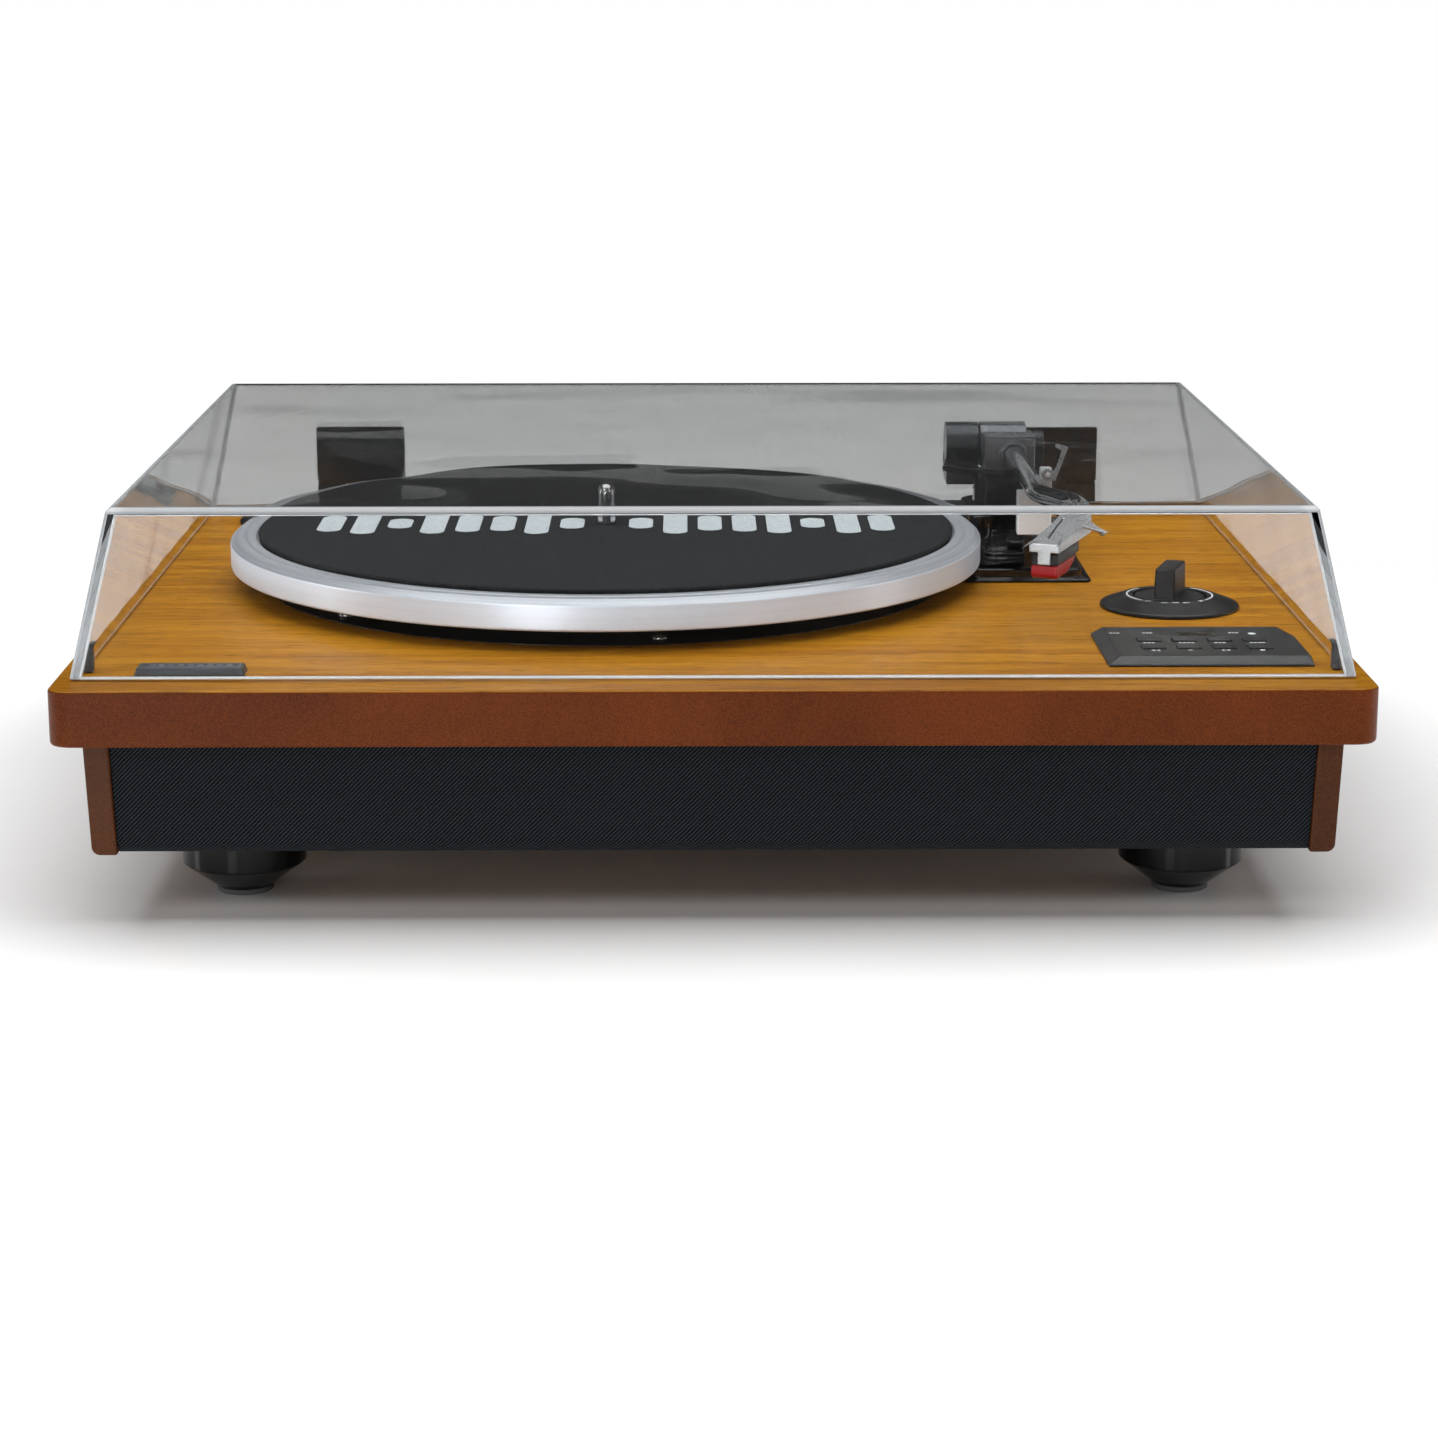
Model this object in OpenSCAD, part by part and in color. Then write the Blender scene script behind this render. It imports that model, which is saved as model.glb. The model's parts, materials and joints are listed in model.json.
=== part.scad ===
// Belt-drive record player with built-in speakers: a wooden plinth on four feet,
// a hinged clear lid, a cast platter, a bent tonearm and a small control panel.
// Millimetres, +Z up, +X to the right and +Y to the back as the player is used.
// The origin is on the floor, under the middle of the top board.

/* [Plinth] */
// Width of the wooden top board
slab_w = 460; // [440:1:560]
// Depth of the wooden top board
slab_d = 375; // [372:1:460]
// Thickness of the top board
slab_t = 20; // [18:0.5:30]
// Radius of the top board's upright corners
slab_r = 8; // [2:0.5:14]
// Height of the speaker box under the top board
cabinet_h = 40; // [38:0.5:60]
// Thickness of the side boards
cheek_t = 9; // [6:0.5:14]
// How far the side boards stand in from the ends of the top board
cheek_inset = 11.2; // [5:0.1:20]
// How far the side boards lean in from top to bottom
cheek_lean = 1.6; // [0:0.1:4]
// How far the box stands back from the front edge of the top board
cabinet_setback = 6.4; // [3:0.1:12]
// Thickness of the speaker baffle
baffle_t = 9; // [6:0.5:12]
// Radius of the baffle's lower front edge
baffle_r = 4; // [2:0.5:6]
// Thickness of the grille cloth
cloth_t = 0.8; // [0.5:0.1:1.2]
// Thickness of the back board
back_t = 6; // [3:0.5:9]
// Thickness of the bottom board
bottom_t = 4; // [3:0.5:6]

/* [Feet] */
// Height of a foot with its pad
foot_h = 27; // [15:0.5:40]
// Diameter of a foot at the top
foot_top_d = 45; // [30:0.5:55]
// Diameter of a foot at the bottom
foot_bottom_d = 21; // [15:0.5:28]
// Height of the upright band at the top of a foot
foot_band_h = 15.5; // [2:0.5:18]
// Thickness of the rubber pad
foot_pad_t = 2; // [1:0.5:4]
// Distance from the end of the top board to a foot's centre
foot_inset_x = 59; // [40:1:90]
// Distance from the front or back edge to a foot's centre
foot_inset_y = 59; // [45:1:90]

/* [Speakers] */
// Length of a speaker's rounded frame
speaker_w = 78; // [60:1:100]
// Height of a speaker's rounded frame
speaker_h = 32; // [28:0.5:33]
// Distance from the end of the top board to a speaker's centre
speaker_inset = 110; // [80:1:140]

/* [Platter] */
// Platter diameter
platter_d = 300; // [280:1:305]
// Platter centre, from the middle of the top board
platter_x = -41.5; // [-45:0.5:-38]
// Platter centre, from the front edge
platter_y = 209; // [205:0.5:209]
// Height of the platter's outer wall
platter_wall_h = 12; // [8:0.5:16]
// Gap between the top board and the platter
platter_gap = 8; // [7:0.5:12]
// Thickness of the felt mat
mat_t = 3; // [2:0.5:5]
// Width of the bare ring round the mat
platter_ring = 10.3; // [5:0.1:15]
// Diameter of the record spindle
spindle_d = 7.2; // [7.1:0.01:7.25]
// Height of the spindle over the mat
spindle_h = 14; // [10:0.5:18]
// Diameter of the dark tray under the platter
tray_d = 271; // [240:1:276]
// Depth of the tray
tray_depth = 8; // [5:0.5:9]
// Radius of the belt rim under the platter
belt_rim_r = 62; // [50:0.5:66]
// Radius of the motor pulley
pulley_r = 5.5; // [4:0.1:7]
// Distance from the platter centre to the motor shaft
motor_spacing = 92; // [84:0.5:92]
// Height of the belt
belt_h = 5; // [3:0.5:5]
// Diameter of the motor
motor_d = 36; // [28:0.5:38]

/* [Tonearm] */
// Arm pivot, to the right of the platter centre
pivot_dx = 168.5; // [165:0.5:172]
// Arm pivot, behind the platter centre
pivot_dy = 71; // [62:0.5:77]
// Height of the arm tube's axis over the top board
tube_z = 38.5; // [37:0.5:40]
// Outer diameter of the arm tube
tube_d = 8; // [6:0.1:9]
// Length of the straight arm tube in front of the pivot
tube_straight = 109; // [100:0.5:112]
// Angle of the headshell to the arm
offset_angle = 21.5; // [18:0.5:25]
// Length of the headshell
headshell_l = 46; // [40:0.5:48]
// Width of the headshell
headshell_w = 11.2; // [10:0.1:13]
// Diameter of the pivot barrel
barrel_d = 18.4; // [16:0.1:20]
// Height of the needle's tip over the mat, when the arm is down
needle_gap = 1.8; // [1.5:0.1:2.5]

/* [Lid] */
// Wall of the clear lid
lid_wall = 3; // [2:0.1:4]
// Height of the lid over the top board
lid_h = 58; // [57.5:0.5:75]
// How far the lid stands in from the ends of the top board
lid_inset_x = 6; // [4:0.5:12]
// How far the lid stands in from the front edge
lid_inset_front = 15.4; // [10:0.1:16]
// How far the lid stands in from the back edge
lid_inset_back = 10; // [9.5:0.5:14]
// How far each side of the lid leans in at the top
lid_lean_x = 12; // [0:0.5:13]
// How far the front of the lid leans in at the top
lid_lean_front = 18.6; // [0:0.5:25]
// How far the back of the lid leans in at the top
lid_lean_back = 1; // [0:0.5:1.5]
// Height of the lid's lower edge over the top board
lid_gap = 0.8; // [0.5:0.1:2]
// Width of a lid hinge
hinge_w = 39; // [24:1:50]
// Distance from the end of the top board to a hinge's centre
hinge_inset = 75; // [60:1:95]
// Diameter of the hinge pins
hinge_pin_d = 4; // [3:0.1:4.5]

/* [Controls] */
// Width of the control panel
panel_w = 73; // [72:0.5:80]
// Depth of the control panel
panel_d = 55; // [54:0.5:60]
// Height of the control panel
panel_h = 3.3; // [2.5:0.1:4.5]
// Distance from the right end of the top board to the panel
panel_inset = 17.2; // [16:0.1:20]
// Distance from the front edge to the panel
panel_y = 35.2; // [34:0.1:40]
// Length of a button
button_w = 8.6; // [6:0.1:10]
// Depth of a button
button_d = 6.5; // [5:0.1:8]
// Distance between buttons, in both directions
button_pitch = 12.8; // [11.8:0.1:13.2]
// Travel of a button
button_travel = 0.8; // [0.4:0.1:1.2]
// Diameter of the volume dial's surround
dial_d = 53.2; // [46:0.1:60]
// Volume dial centre, from the right end of the top board
dial_inset = 53.5; // [48:0.5:60]
// Volume dial centre, from the front edge
dial_y = 144; // [136:0.5:156]
// Height of the volume knob over the top board
knob_h = 16.5; // [12:0.5:20]
// Turn of the volume knob's grip from straight ahead
knob_turn = -19; // [-60:1:60]

/* [Fits] */
// Gap round a piece that sits in a pocket
seat_gap = 0.2; // [0.1:0.05:0.4]
// Radial clearance of a turning shaft in its bore
running_gap = 0.05; // [0.02:0.01:0.08]
// Gap between pieces that move past each other
moving_gap = 0.4; // [0.3:0.05:0.6]

/* [Hidden] */
$fn = 96;
cut = 1;
box_z = foot_h;
slab_z = foot_h + cabinet_h;
deck = slab_z + slab_t;
platter_at = [platter_x, platter_y - slab_d / 2];
platter_top = platter_gap + platter_wall_h;
mat_top = platter_top - 1.5 + mat_t;
pivot = platter_at + [pivot_dx, pivot_dy];
needle_z = mat_top + needle_gap;
barrel_z = tube_z + 2.1;
tube_r = tube_d / 2;
inner_w = slab_w / 2 - cheek_inset - cheek_t;
box_front = -slab_d / 2 + cabinet_setback;
box_back = slab_d / 2 - cabinet_setback;
baffle_y = box_front + 1.3 + cloth_t;
foot_x = slab_w / 2 - foot_inset_x;
foot_y = slab_d / 2 - foot_inset_y;
speaker_x = slab_w / 2 - speaker_inset;
speaker_z = box_z + bottom_t + (cabinet_h - bottom_t) / 2;
tray_r = tray_d / 2;
tray_floor_r = tray_r - 20;
tray_t = 2;
tray_screw_r = tray_r - 8.5;
bearing_r = 8;
bearing_l = 27;
motor_angle = 135;
motor_at = platter_at + motor_spacing * [cos(motor_angle), sin(motor_angle)];
belt_z = 3;
belt_t = 1;
panel_right = slab_w / 2 - panel_inset;
panel_left = panel_right - panel_w;
panel_front = panel_y - slab_d / 2;
dial_at = [slab_w / 2 - dial_inset, dial_y - slab_d / 2];
button_x0 = panel_left + 18.2;
button_y0 = panel_front + 18.3;
usb_at = [panel_left + 37, panel_front + 42.2];
led_at = [panel_left + 57.5, panel_front + 42.2];
board_z = -9.6;
switch_w = 60;
switch_d = 24;
switch_t = 2.6;
switch_at = [-slab_w / 2 + 25 + switch_w / 2, platter_at[1] + 130];
switch_slots = [-17, 16];
lid_x = slab_w / 2 - lid_inset_x;
lid_front = -slab_d / 2 + lid_inset_front;
lid_back = slab_d / 2 - lid_inset_back;
hinge_x = slab_w / 2 - hinge_inset;
hinge_y = slab_d / 2 - 5;
hinge_z = 6.2;
knuckle_r = 4.4;
rest_y = 82;
clip_dx = tube_r + 3;
clip_z = tube_z + 2.5;
clip_open = 110;
cue_r = 33;
cue_angle = 26;
lever_dx = 18;
lever_dy = -25;
lever_z = 12.5;
head_bend_1 = 25;
head_r_1 = 40;
head_run = 13.3;
head_r_2 = 30;
socket_z = box_z + bottom_t + 15;
socket_x = [-92, -62, -42];

// ---- outlines and placing ----

function arc(at, r, from, to, n = 8) =
    [for (i = [0:n]) at + r * [cos(from + (to - from) * i / n), sin(from + (to - from) * i / n)]];

function round_rect(w, d, r) = concat(
    arc([w / 2 - r, d / 2 - r], r, 0, 90), arc([r - w / 2, d / 2 - r], r, 90, 180),
    arc([r - w / 2, r - d / 2], r, 180, 270), arc([w / 2 - r, r - d / 2], r, 270, 360));

// A belt's outline round a rim at the origin and a pulley at [spacing, 0].
function belt_line(rim, pulley, spacing) =
    let (phi = acos((rim - pulley) / spacing))
    concat(arc([0, 0], rim, phi, 360 - phi, 60), arc([spacing, 0], pulley, -phi, phi, 16));

module plate(w, d, t, r) { linear_extrude(t) polygon(round_rect(w, d, r)); }

module along_x(l) { rotate([90, 0, 90]) linear_extrude(l) children(); }

module along_y(l) { translate([0, l, 0]) rotate([90, 0, 0]) linear_extrude(l) children(); }

module rod_x(r, l) { rotate([0, 90, 0]) cylinder(r = r, h = l); }

module rod_y(r, l) { rotate([-90, 0, 0]) cylinder(r = r, h = l); }

module each_side() {
    children();
    mirror([1, 0, 0]) children();
}

module each_foot() {
    for (x = [-foot_x, foot_x], y = [-foot_y, foot_y]) translate([x, y, 0]) children();
}

module on_deck() { translate([0, 0, deck]) children(); }

module at_platter() { translate([platter_at[0], platter_at[1], deck]) children(); }

module at_pivot() { translate([pivot[0], pivot[1], deck]) children(); }

// A block whose four sides slope in towards the top.
module sloped_block(w, d, h, slope) {
    intersection() {
        translate([0, -d / 2, 0]) along_y(d)
            polygon([[-w / 2, 0], [w / 2, 0], [w / 2 - slope, h], [slope - w / 2, h]]);
        translate([-w / 2, 0, 0]) along_x(w)
            polygon([[-d / 2, 0], [d / 2, 0], [d / 2 - slope, h], [slope - d / 2, h]]);
    }
}

// ---- plinth ----

module top_slab() {
    color("peru") difference() {
        translate([0, 0, slab_z]) plate(slab_w, slab_d, slab_t, slab_r);
        at_platter() {
            translate([0, 0, -1.2]) cylinder(r = tray_r + seat_gap, h = 1.2 + cut);
            translate([0, 0, -tray_depth - tray_t])
                cylinder(r = tray_floor_r + seat_gap, h = tray_depth + tray_t + cut);
            translate([0, 0, -slab_t - cut]) cylinder(r = bearing_r + seat_gap, h = slab_t);
            tray_screw_places() translate([0, 0, -10]) cylinder(r = 1.55, h = 10);
        }
        translate([motor_at[0], motor_at[1], slab_z - cut]) cylinder(r = motor_d / 2 + 0.6, h = slab_t);
        translate([(panel_left + panel_right) / 2, panel_front + 27, slab_z - cut])
            plate(62, 41, slab_t + 2 * cut, 3);
        translate([dial_at[0], dial_at[1], slab_z - cut]) {
            cylinder(r = 14, h = slab_t - 6 + cut);
            cylinder(r = 4.2, h = slab_t + 2 * cut);
        }
        translate([switch_at[0], switch_at[1], deck - 9]) plate(52, 14, 9 + cut, 2);
    }
}

module cheek() {
    edge = 3;
    out = inner_w + cheek_t;
    translate([0, box_front, 0]) along_y(box_back - box_front) polygon(concat(
        [[inner_w, slab_z], [inner_w - cheek_lean, box_z]],
        arc([out - cheek_lean - edge, box_z + edge], edge, 270, 360),
        [[out, slab_z]]));
}

module left_cheek() { color("sienna") mirror([1, 0, 0]) cheek(); }

module right_cheek() { color("sienna") cheek(); }

// Everything between the leaning side boards, over the given depth.
module between_cheeks(y, l, gap) {
    w = inner_w - gap;
    translate([0, y, 0]) along_y(l) polygon([
        [-w, slab_z], [cheek_lean - w, box_z], [w - cheek_lean, box_z], [w, slab_z]]);
}

module baffle_profile(grow) {
    bottom = box_z + cloth_t - grow;
    r = baffle_r + grow;
    polygon(concat([[baffle_y + baffle_t, bottom], [baffle_y + baffle_t, slab_z], [baffle_y - grow, slab_z]],
        arc([baffle_y - grow + r, bottom + r], r, 180, 270)));
}

module front_baffle() {
    color("dimgray") difference() {
        intersection() {
            between_cheeks(baffle_y - cut, baffle_t + 2 * cut, seat_gap);
            translate([-slab_w / 2, 0, 0]) along_x(slab_w) baffle_profile(0);
        }
        for (x = [-speaker_x, speaker_x])
            translate([x, baffle_y - cut, speaker_z]) along_y(baffle_t + 2 * cut)
                polygon(round_rect(speaker_w - 12, speaker_h - 8, (speaker_h - 8) / 2 - 0.5));
    }
}

module grille_cloth() {
    color("black") intersection() {
        between_cheeks(baffle_y - 2 * cut, baffle_t + 4 * cut, seat_gap);
        translate([-slab_w / 2, 0, 0]) along_x(slab_w) difference() {
            baffle_profile(cloth_t);
            baffle_profile(0);
        }
    }
}

module back_panel() {
    back_y = box_back - 2 - back_t;
    color("black") difference() {
        between_cheeks(back_y, back_t, seat_gap);
        translate([socket_x[0], back_y - cut, socket_z]) rod_y(6 + seat_gap, back_t + 2 * cut);
        for (i = [1, 2])
            translate([socket_x[i], back_y - cut, socket_z]) rod_y(5 + seat_gap, back_t + 2 * cut);
    }
}

module bottom_panel() {
    front = baffle_y + baffle_t + seat_gap;
    back = box_back - 2 - back_t - seat_gap;
    w = inner_w - cheek_lean - seat_gap;
    color("dimgray") difference() {
        translate([-w, front, box_z]) cube([2 * w, back - front, bottom_t]);
        each_foot() translate([0, 0, box_z - cut]) cylinder(r = 2.05, h = bottom_t + 2 * cut);
    }
}

// ---- feet and screws ----

module feet() {
    top = foot_top_d / 2;
    low = foot_bottom_d / 2;
    color("black") each_foot() rotate_extrude() polygon([
        [2.1, foot_pad_t], [low, foot_pad_t], [low + 0.6, foot_pad_t + 0.8],
        [top - 0.6, foot_h - foot_band_h - 0.5], [top - 0.6, foot_h - foot_band_h],
        [top, foot_h - foot_band_h], [top, foot_h], [2.1, foot_h]]);
}

module foot_pads() {
    color("gray") each_foot() difference() {
        cylinder(r = foot_bottom_d / 2 - 0.3, h = foot_pad_t);
        translate([0, 0, -cut]) cylinder(r = 4.2, h = foot_pad_t + 2 * cut);
    }
}

module tray_screw_places() {
    for (a = [40:60:340]) rotate(a) translate([tray_screw_r, 0, 0]) children();
}

// Foot screws stand in the bottom board, tray screws in the top board.
module wood_screws() {
    color("silver") {
        each_foot() {
            translate([0, 0, box_z + bottom_t]) cylinder(r = 4, h = 2);
            translate([0, 0, foot_pad_t]) cylinder(r = 2, h = foot_h + bottom_t - foot_pad_t);
        }
        at_platter() tray_screw_places() {
            translate([0, 0, 0.3]) cylinder(r = 2.8, h = 1);
            translate([0, 0, -9.5]) cylinder(r = 1.5, h = 10);
        }
    }
}

// ---- speakers ----

module each_speaker(y) {
    for (x = [-speaker_x, speaker_x]) translate([x, y, speaker_z]) children();
}

module speaker_frames() {
    color("dimgray") each_speaker(baffle_y + baffle_t) difference() {
        union() {
            along_y(2) polygon(round_rect(speaker_w, speaker_h, speaker_h / 2 - 0.5));
            translate([0, 2, 0]) along_y(16)
                polygon(round_rect(speaker_w - 14, speaker_h - 6, (speaker_h - 6) / 2 - 0.5));
        }
        translate([0, -cut, 0]) along_y(17 + cut)
            polygon(round_rect(speaker_w - 18, speaker_h - 10, (speaker_h - 10) / 2 - 0.5));
        rod_y(8.2, 30);
    }
}

module speaker_cones() {
    color("black") each_speaker(baffle_y + baffle_t + 4) {
        along_y(1.2) difference() {
            polygon(round_rect(speaker_w - 18.8, speaker_h - 10.8, (speaker_h - 10.8) / 2 - 0.5));
            circle(r = 7.5);
        }
        rod_y(7.5, 12);
    }
}

module speaker_magnets() {
    color("silver") each_speaker(baffle_y + baffle_t + 18) difference() {
        rod_y(speaker_h / 2 - 2, 10);
        translate([0, -cut, 0]) rod_y(8.2, 5);
    }
}

// ---- platter and drive ----

module platter_tray() {
    floor_z = -tray_depth - tray_t;
    color("black") difference() {
        at_platter() difference() {
            rotate_extrude() polygon([
                [bearing_r + seat_gap, floor_z], [tray_floor_r, floor_z], [tray_floor_r, -1.2],
                [tray_r, -1.2], [tray_r, 0.3], [tray_floor_r - tray_t, 0.3],
                [tray_floor_r - tray_t, -tray_depth], [bearing_r + seat_gap, -tray_depth]]);
            tray_screw_places() translate([0, 0, -2]) cylinder(r = 1.55, h = 4);
        }
        translate([motor_at[0], motor_at[1], deck + floor_z - cut]) cylinder(r = 5.6, h = tray_t + 2 * cut);
    }
}

module bearing_housing() {
    bore = spindle_d / 2 + running_gap;
    color("goldenrod") at_platter() rotate_extrude() polygon([
        [0, -tray_depth - bearing_l], [bearing_r, -tray_depth - bearing_l], [bearing_r, -tray_depth],
        [18, -tray_depth], [18, 2.5 - tray_depth], [bore, 2.5 - tray_depth],
        [bore, 2 - tray_depth - bearing_l], [0, 2 - tray_depth - bearing_l]]);
}

module motor() {
    top = deck - tray_depth - tray_t;
    color("silver") translate([motor_at[0], motor_at[1], top - 29]) difference() {
        union() {
            cylinder(r = motor_d / 2, h = 29);
            cylinder(r = 5, h = 32);
        }
        translate([0, 0, 12]) cylinder(r = 1 + running_gap, h = 21);
    }
}

module motor_pulley() {
    top = belt_z + belt_h + 1.5;
    color("goldenrod") translate([motor_at[0], motor_at[1], deck]) rotate_extrude() polygon([
        [0, -tray_depth - tray_t - 16], [1, -tray_depth - tray_t - 16], [1, 1],
        [pulley_r + 1.6, 1], [pulley_r + 1.6, 2], [pulley_r, 2.4], [pulley_r, top - 0.4],
        [pulley_r + 1.6, top], [pulley_r + 1.6, top + 1], [0, top + 1]]);
}

module drive_belt() {
    slack = 0.35;
    color("dimgray") at_platter() translate([0, 0, belt_z]) rotate(motor_angle)
        linear_extrude(belt_h) difference() {
            polygon(belt_line(belt_rim_r + slack + belt_t, pulley_r + slack + belt_t, motor_spacing));
            polygon(belt_line(belt_rim_r + slack, pulley_r + slack, motor_spacing));
        }
}

module platter() {
    r = platter_d / 2;
    hole = spindle_d / 2 + 0.03;
    recess = platter_top - 1.5;
    under = recess - 2.5;
    color("silver") at_platter() rotate_extrude() polygon([
        [hole, -2], [14, -2], [14, under], [belt_rim_r - 3, under], [belt_rim_r - 3, 1.5],
        [belt_rim_r, 1.5], [belt_rim_r, under], [r - 5, under], [r - 5, platter_gap],
        [r - 0.5, platter_gap], [r, platter_gap + 0.5], [r, platter_top - 0.8], [r - 0.8, platter_top],
        [r - platter_ring, platter_top], [r - platter_ring, recess], [hole, recess]]);
}

module mat() {
    r = platter_d / 2 - platter_ring - 0.8;
    low = platter_top - 1.5;
    color("black") at_platter() rotate_extrude() polygon([
        [spindle_d / 2 + 0.3, low], [r, low], [r, mat_top - 0.8], [r - 0.8, mat_top],
        [spindle_d / 2 + 0.3, mat_top]]);
}

module spindle() {
    r = spindle_d / 2;
    tip = mat_top + spindle_h;
    color("silver") at_platter() rotate_extrude() polygon(concat(
        [[0, 2.3 - tray_depth - bearing_l], [r, 2.3 - tray_depth - bearing_l], [r, tip - 4]],
        [for (a = [20:20:80]) [r * cos(a), tip - 4 + 4 * sin(a)]], [[0, tip]]));
}

// ---- switches at the back left ----

module switch_plate() {
    color("black") translate([switch_at[0], switch_at[1], deck]) difference() {
        plate(switch_w, switch_d, switch_t, 3.5);
        for (x = switch_slots) translate([x, 0, -cut]) plate(16, 4, switch_t + 2 * cut, 1);
    }
}

module slide_switch(x) {
    translate([switch_at[0] + x, switch_at[1], deck]) {
        translate([-3, -1.5, -2.5]) cube([6, 3, switch_t + 5.1]);
        translate([-5, -4, -2.5]) cube([10, 8, 2.1]);
    }
}

module speed_switch() { color("silver") slide_switch(switch_slots[0]); }

module autostop_switch() { color("silver") slide_switch(switch_slots[1] - 3.5); }

// ---- control panel ----

module button_place(i) {
    col = i % 4;
    row = 1 - floor(i / 4);
    translate([button_x0 + col * button_pitch, button_y0 + row * button_pitch, deck]) children();
}

module panel_outline() {
    w = panel_w;
    d = panel_d;
    polygon([[0, 0], [w, 0], [w - 0.6, d - 18], [w - 4.5, d], [0, d]]);
}

module control_panel() {
    w = panel_w;
    d = panel_d;
    h = panel_h;
    color("black") difference() {
        translate([panel_left, panel_front, deck]) intersection() {
            linear_extrude(h) panel_outline();
            along_y(d) polygon([[0, 0], [w, 0], [w, 0.8], [w - 0.8, h], [4.4, h], [0, 0.8]]);
            along_x(w) polygon([[0, 0], [d, 0], [d, h - 0.6], [d - 0.6, h], [4, h], [0, 0.8]]);
        }
        for (i = [0:7]) button_place(i) translate([0, 0, -cut])
            plate(button_w + 2 * seat_gap, button_d + 2 * seat_gap, h + 2 * cut, 0.7);
        translate([usb_at[0], usb_at[1], deck - cut]) plate(13.5, 6.1, h + 2 * cut, 0.5);
        translate([led_at[0], led_at[1], deck - cut]) cylinder(r = 1.6, h = h + 2 * cut);
    }
}

module button(i) {
    color("black") button_place(i) {
        translate([0, 0, -1.5]) plate(button_w, button_d, panel_h + 2, 0.6);
        translate([0, 0, -1.5]) plate(button_w + 1.2, button_d + 1.2, 1.1, 0.8);
        translate([0, 0, -5]) cylinder(r = 1.5, h = 4);
    }
}

module usb_socket() {
    color("silver") translate([usb_at[0], usb_at[1], deck + board_z + 1.6]) {
        difference() {
            plate(13.1, 5.7, panel_h - board_z - 1.8, 0.5);
            translate([0, 0, 1]) plate(12.4, 5, panel_h - board_z, 0.3);
        }
        translate([-5.5, -0.95, 0.5]) cube([11, 1.9, panel_h - board_z - 5]);
    }
}

module status_led() {
    color("white") translate([led_at[0], led_at[1], deck + board_z + 1.6])
        cylinder(r = 1.5, h = panel_h - board_z - 1.5);
}

module control_board() {
    mid_x = (panel_left + panel_right) / 2;
    color("seagreen") {
        translate([mid_x, panel_front + 27, deck + board_z]) plate(60, 39, 1.6, 1);
        for (i = [0:7]) button_place(i) translate([-2.5, -2.5, board_z + 1.6])
            cube([5, 5, -5 - button_travel - moving_gap - board_z - 1.6]);
    }
}

// ---- volume ----

module volume_bezel() {
    color("black") translate([dial_at[0], dial_at[1], deck]) rotate_extrude() polygon([
        [4.6, 0], [dial_d / 2, 0], [dial_d / 2, 1.2], [dial_d / 2 - 0.5, 1.7],
        [18.8, 4.4], [18, 4.7], [14.3, 4.7], [14.3, 2.6], [4.6, 2.6]]);
}

module volume_knob() {
    color("black") translate([dial_at[0], dial_at[1], deck]) {
        translate([0, 0, 3]) cylinder(r = 13.6, h = 1.5);
        translate([0, 0, -9]) cylinder(r = 3, h = 13);
        rotate(knob_turn) intersection() {
            translate([0, -11, 4]) along_y(22)
                polygon([[-4.2, 0], [4.2, 0], [3.8, knob_h - 4], [-3.8, knob_h - 4]]);
            translate([-5, 0, 4]) along_x(10) polygon([
                [-11, 0], [11, 0], [10.6, knob_h - 4.6], [10, knob_h - 4],
                [-10, knob_h - 4], [-10.6, knob_h - 4.6]]);
        }
    }
}

module potentiometer() {
    color("silver") translate([dial_at[0], dial_at[1], deck - 6]) difference() {
        union() {
            translate([0, 0, -9.8]) cylinder(r = 12, h = 9.6);
            translate([0, 0, -1]) cylinder(r = 4, h = 7.4);
        }
        translate([0, 0, -3.4]) cylinder(r = 3 + running_gap, h = 12);
    }
}

// ---- badge ----

module badge() {
    color("dimgray") translate([-slab_w / 2 + 46.6, -slab_d / 2 + 28.7, deck])
        sloped_block(38.8, 10, 3, 1);
}

// ---- tonearm ----

module tonearm_base() {
    left = -26;
    color("black") at_pivot() difference() {
        union() {
            translate([left + 25.7, -10, 0]) plate(51.4, 156, 1.4, 3);
            translate([left + 24.2, -10, 1.4]) plate(47.6, 152, 3.9, 6);
            translate([2.2, 0.5, 5.3]) plate(34.5, 126, 2.3, 4);
            translate([2.2, 3, 7.6]) plate(30, 116, 1, 3);
            translate([-13.5, -18, 8.6]) cube([23, 38, 11.4]);
            translate([-2, -rest_y - 3.5, 5.3]) cube([8, 7, 13.5]);
            translate([-0.6, -53.3, 8.6]) cylinder(r = 5, h = 3);
            rotate(-cue_angle) translate([0, -cue_r, 5.3]) cylinder(r = 5, h = 12.7);
            for (x = [lever_dx - 5, lever_dx + 2.9]) translate([x, lever_dy - 4, 5.3])
                cube([2.1, 8, lever_z - 2]);
        }
        rotate(-cue_angle) translate([0, -cue_r, 3]) cylinder(r = 2.5 + running_gap, h = 20);
        translate([0, 0, 7]) cylinder(r = 7.5 + seat_gap, h = 20);
        translate([lever_dx - 6, lever_dy, lever_z]) rod_x(1.5 + running_gap, 12);
    }
}

module pivot_post() {
    color("dimgray") at_pivot() difference() {
        union() {
            translate([0, 0, 7]) cylinder(r = 7.5, h = 16.5);
            translate([0, 0, 20]) cylinder(r = 10, h = 3.5);
        }
        translate([0, 0, 9]) cylinder(r = 4 + running_gap, h = 20);
    }
}

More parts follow.
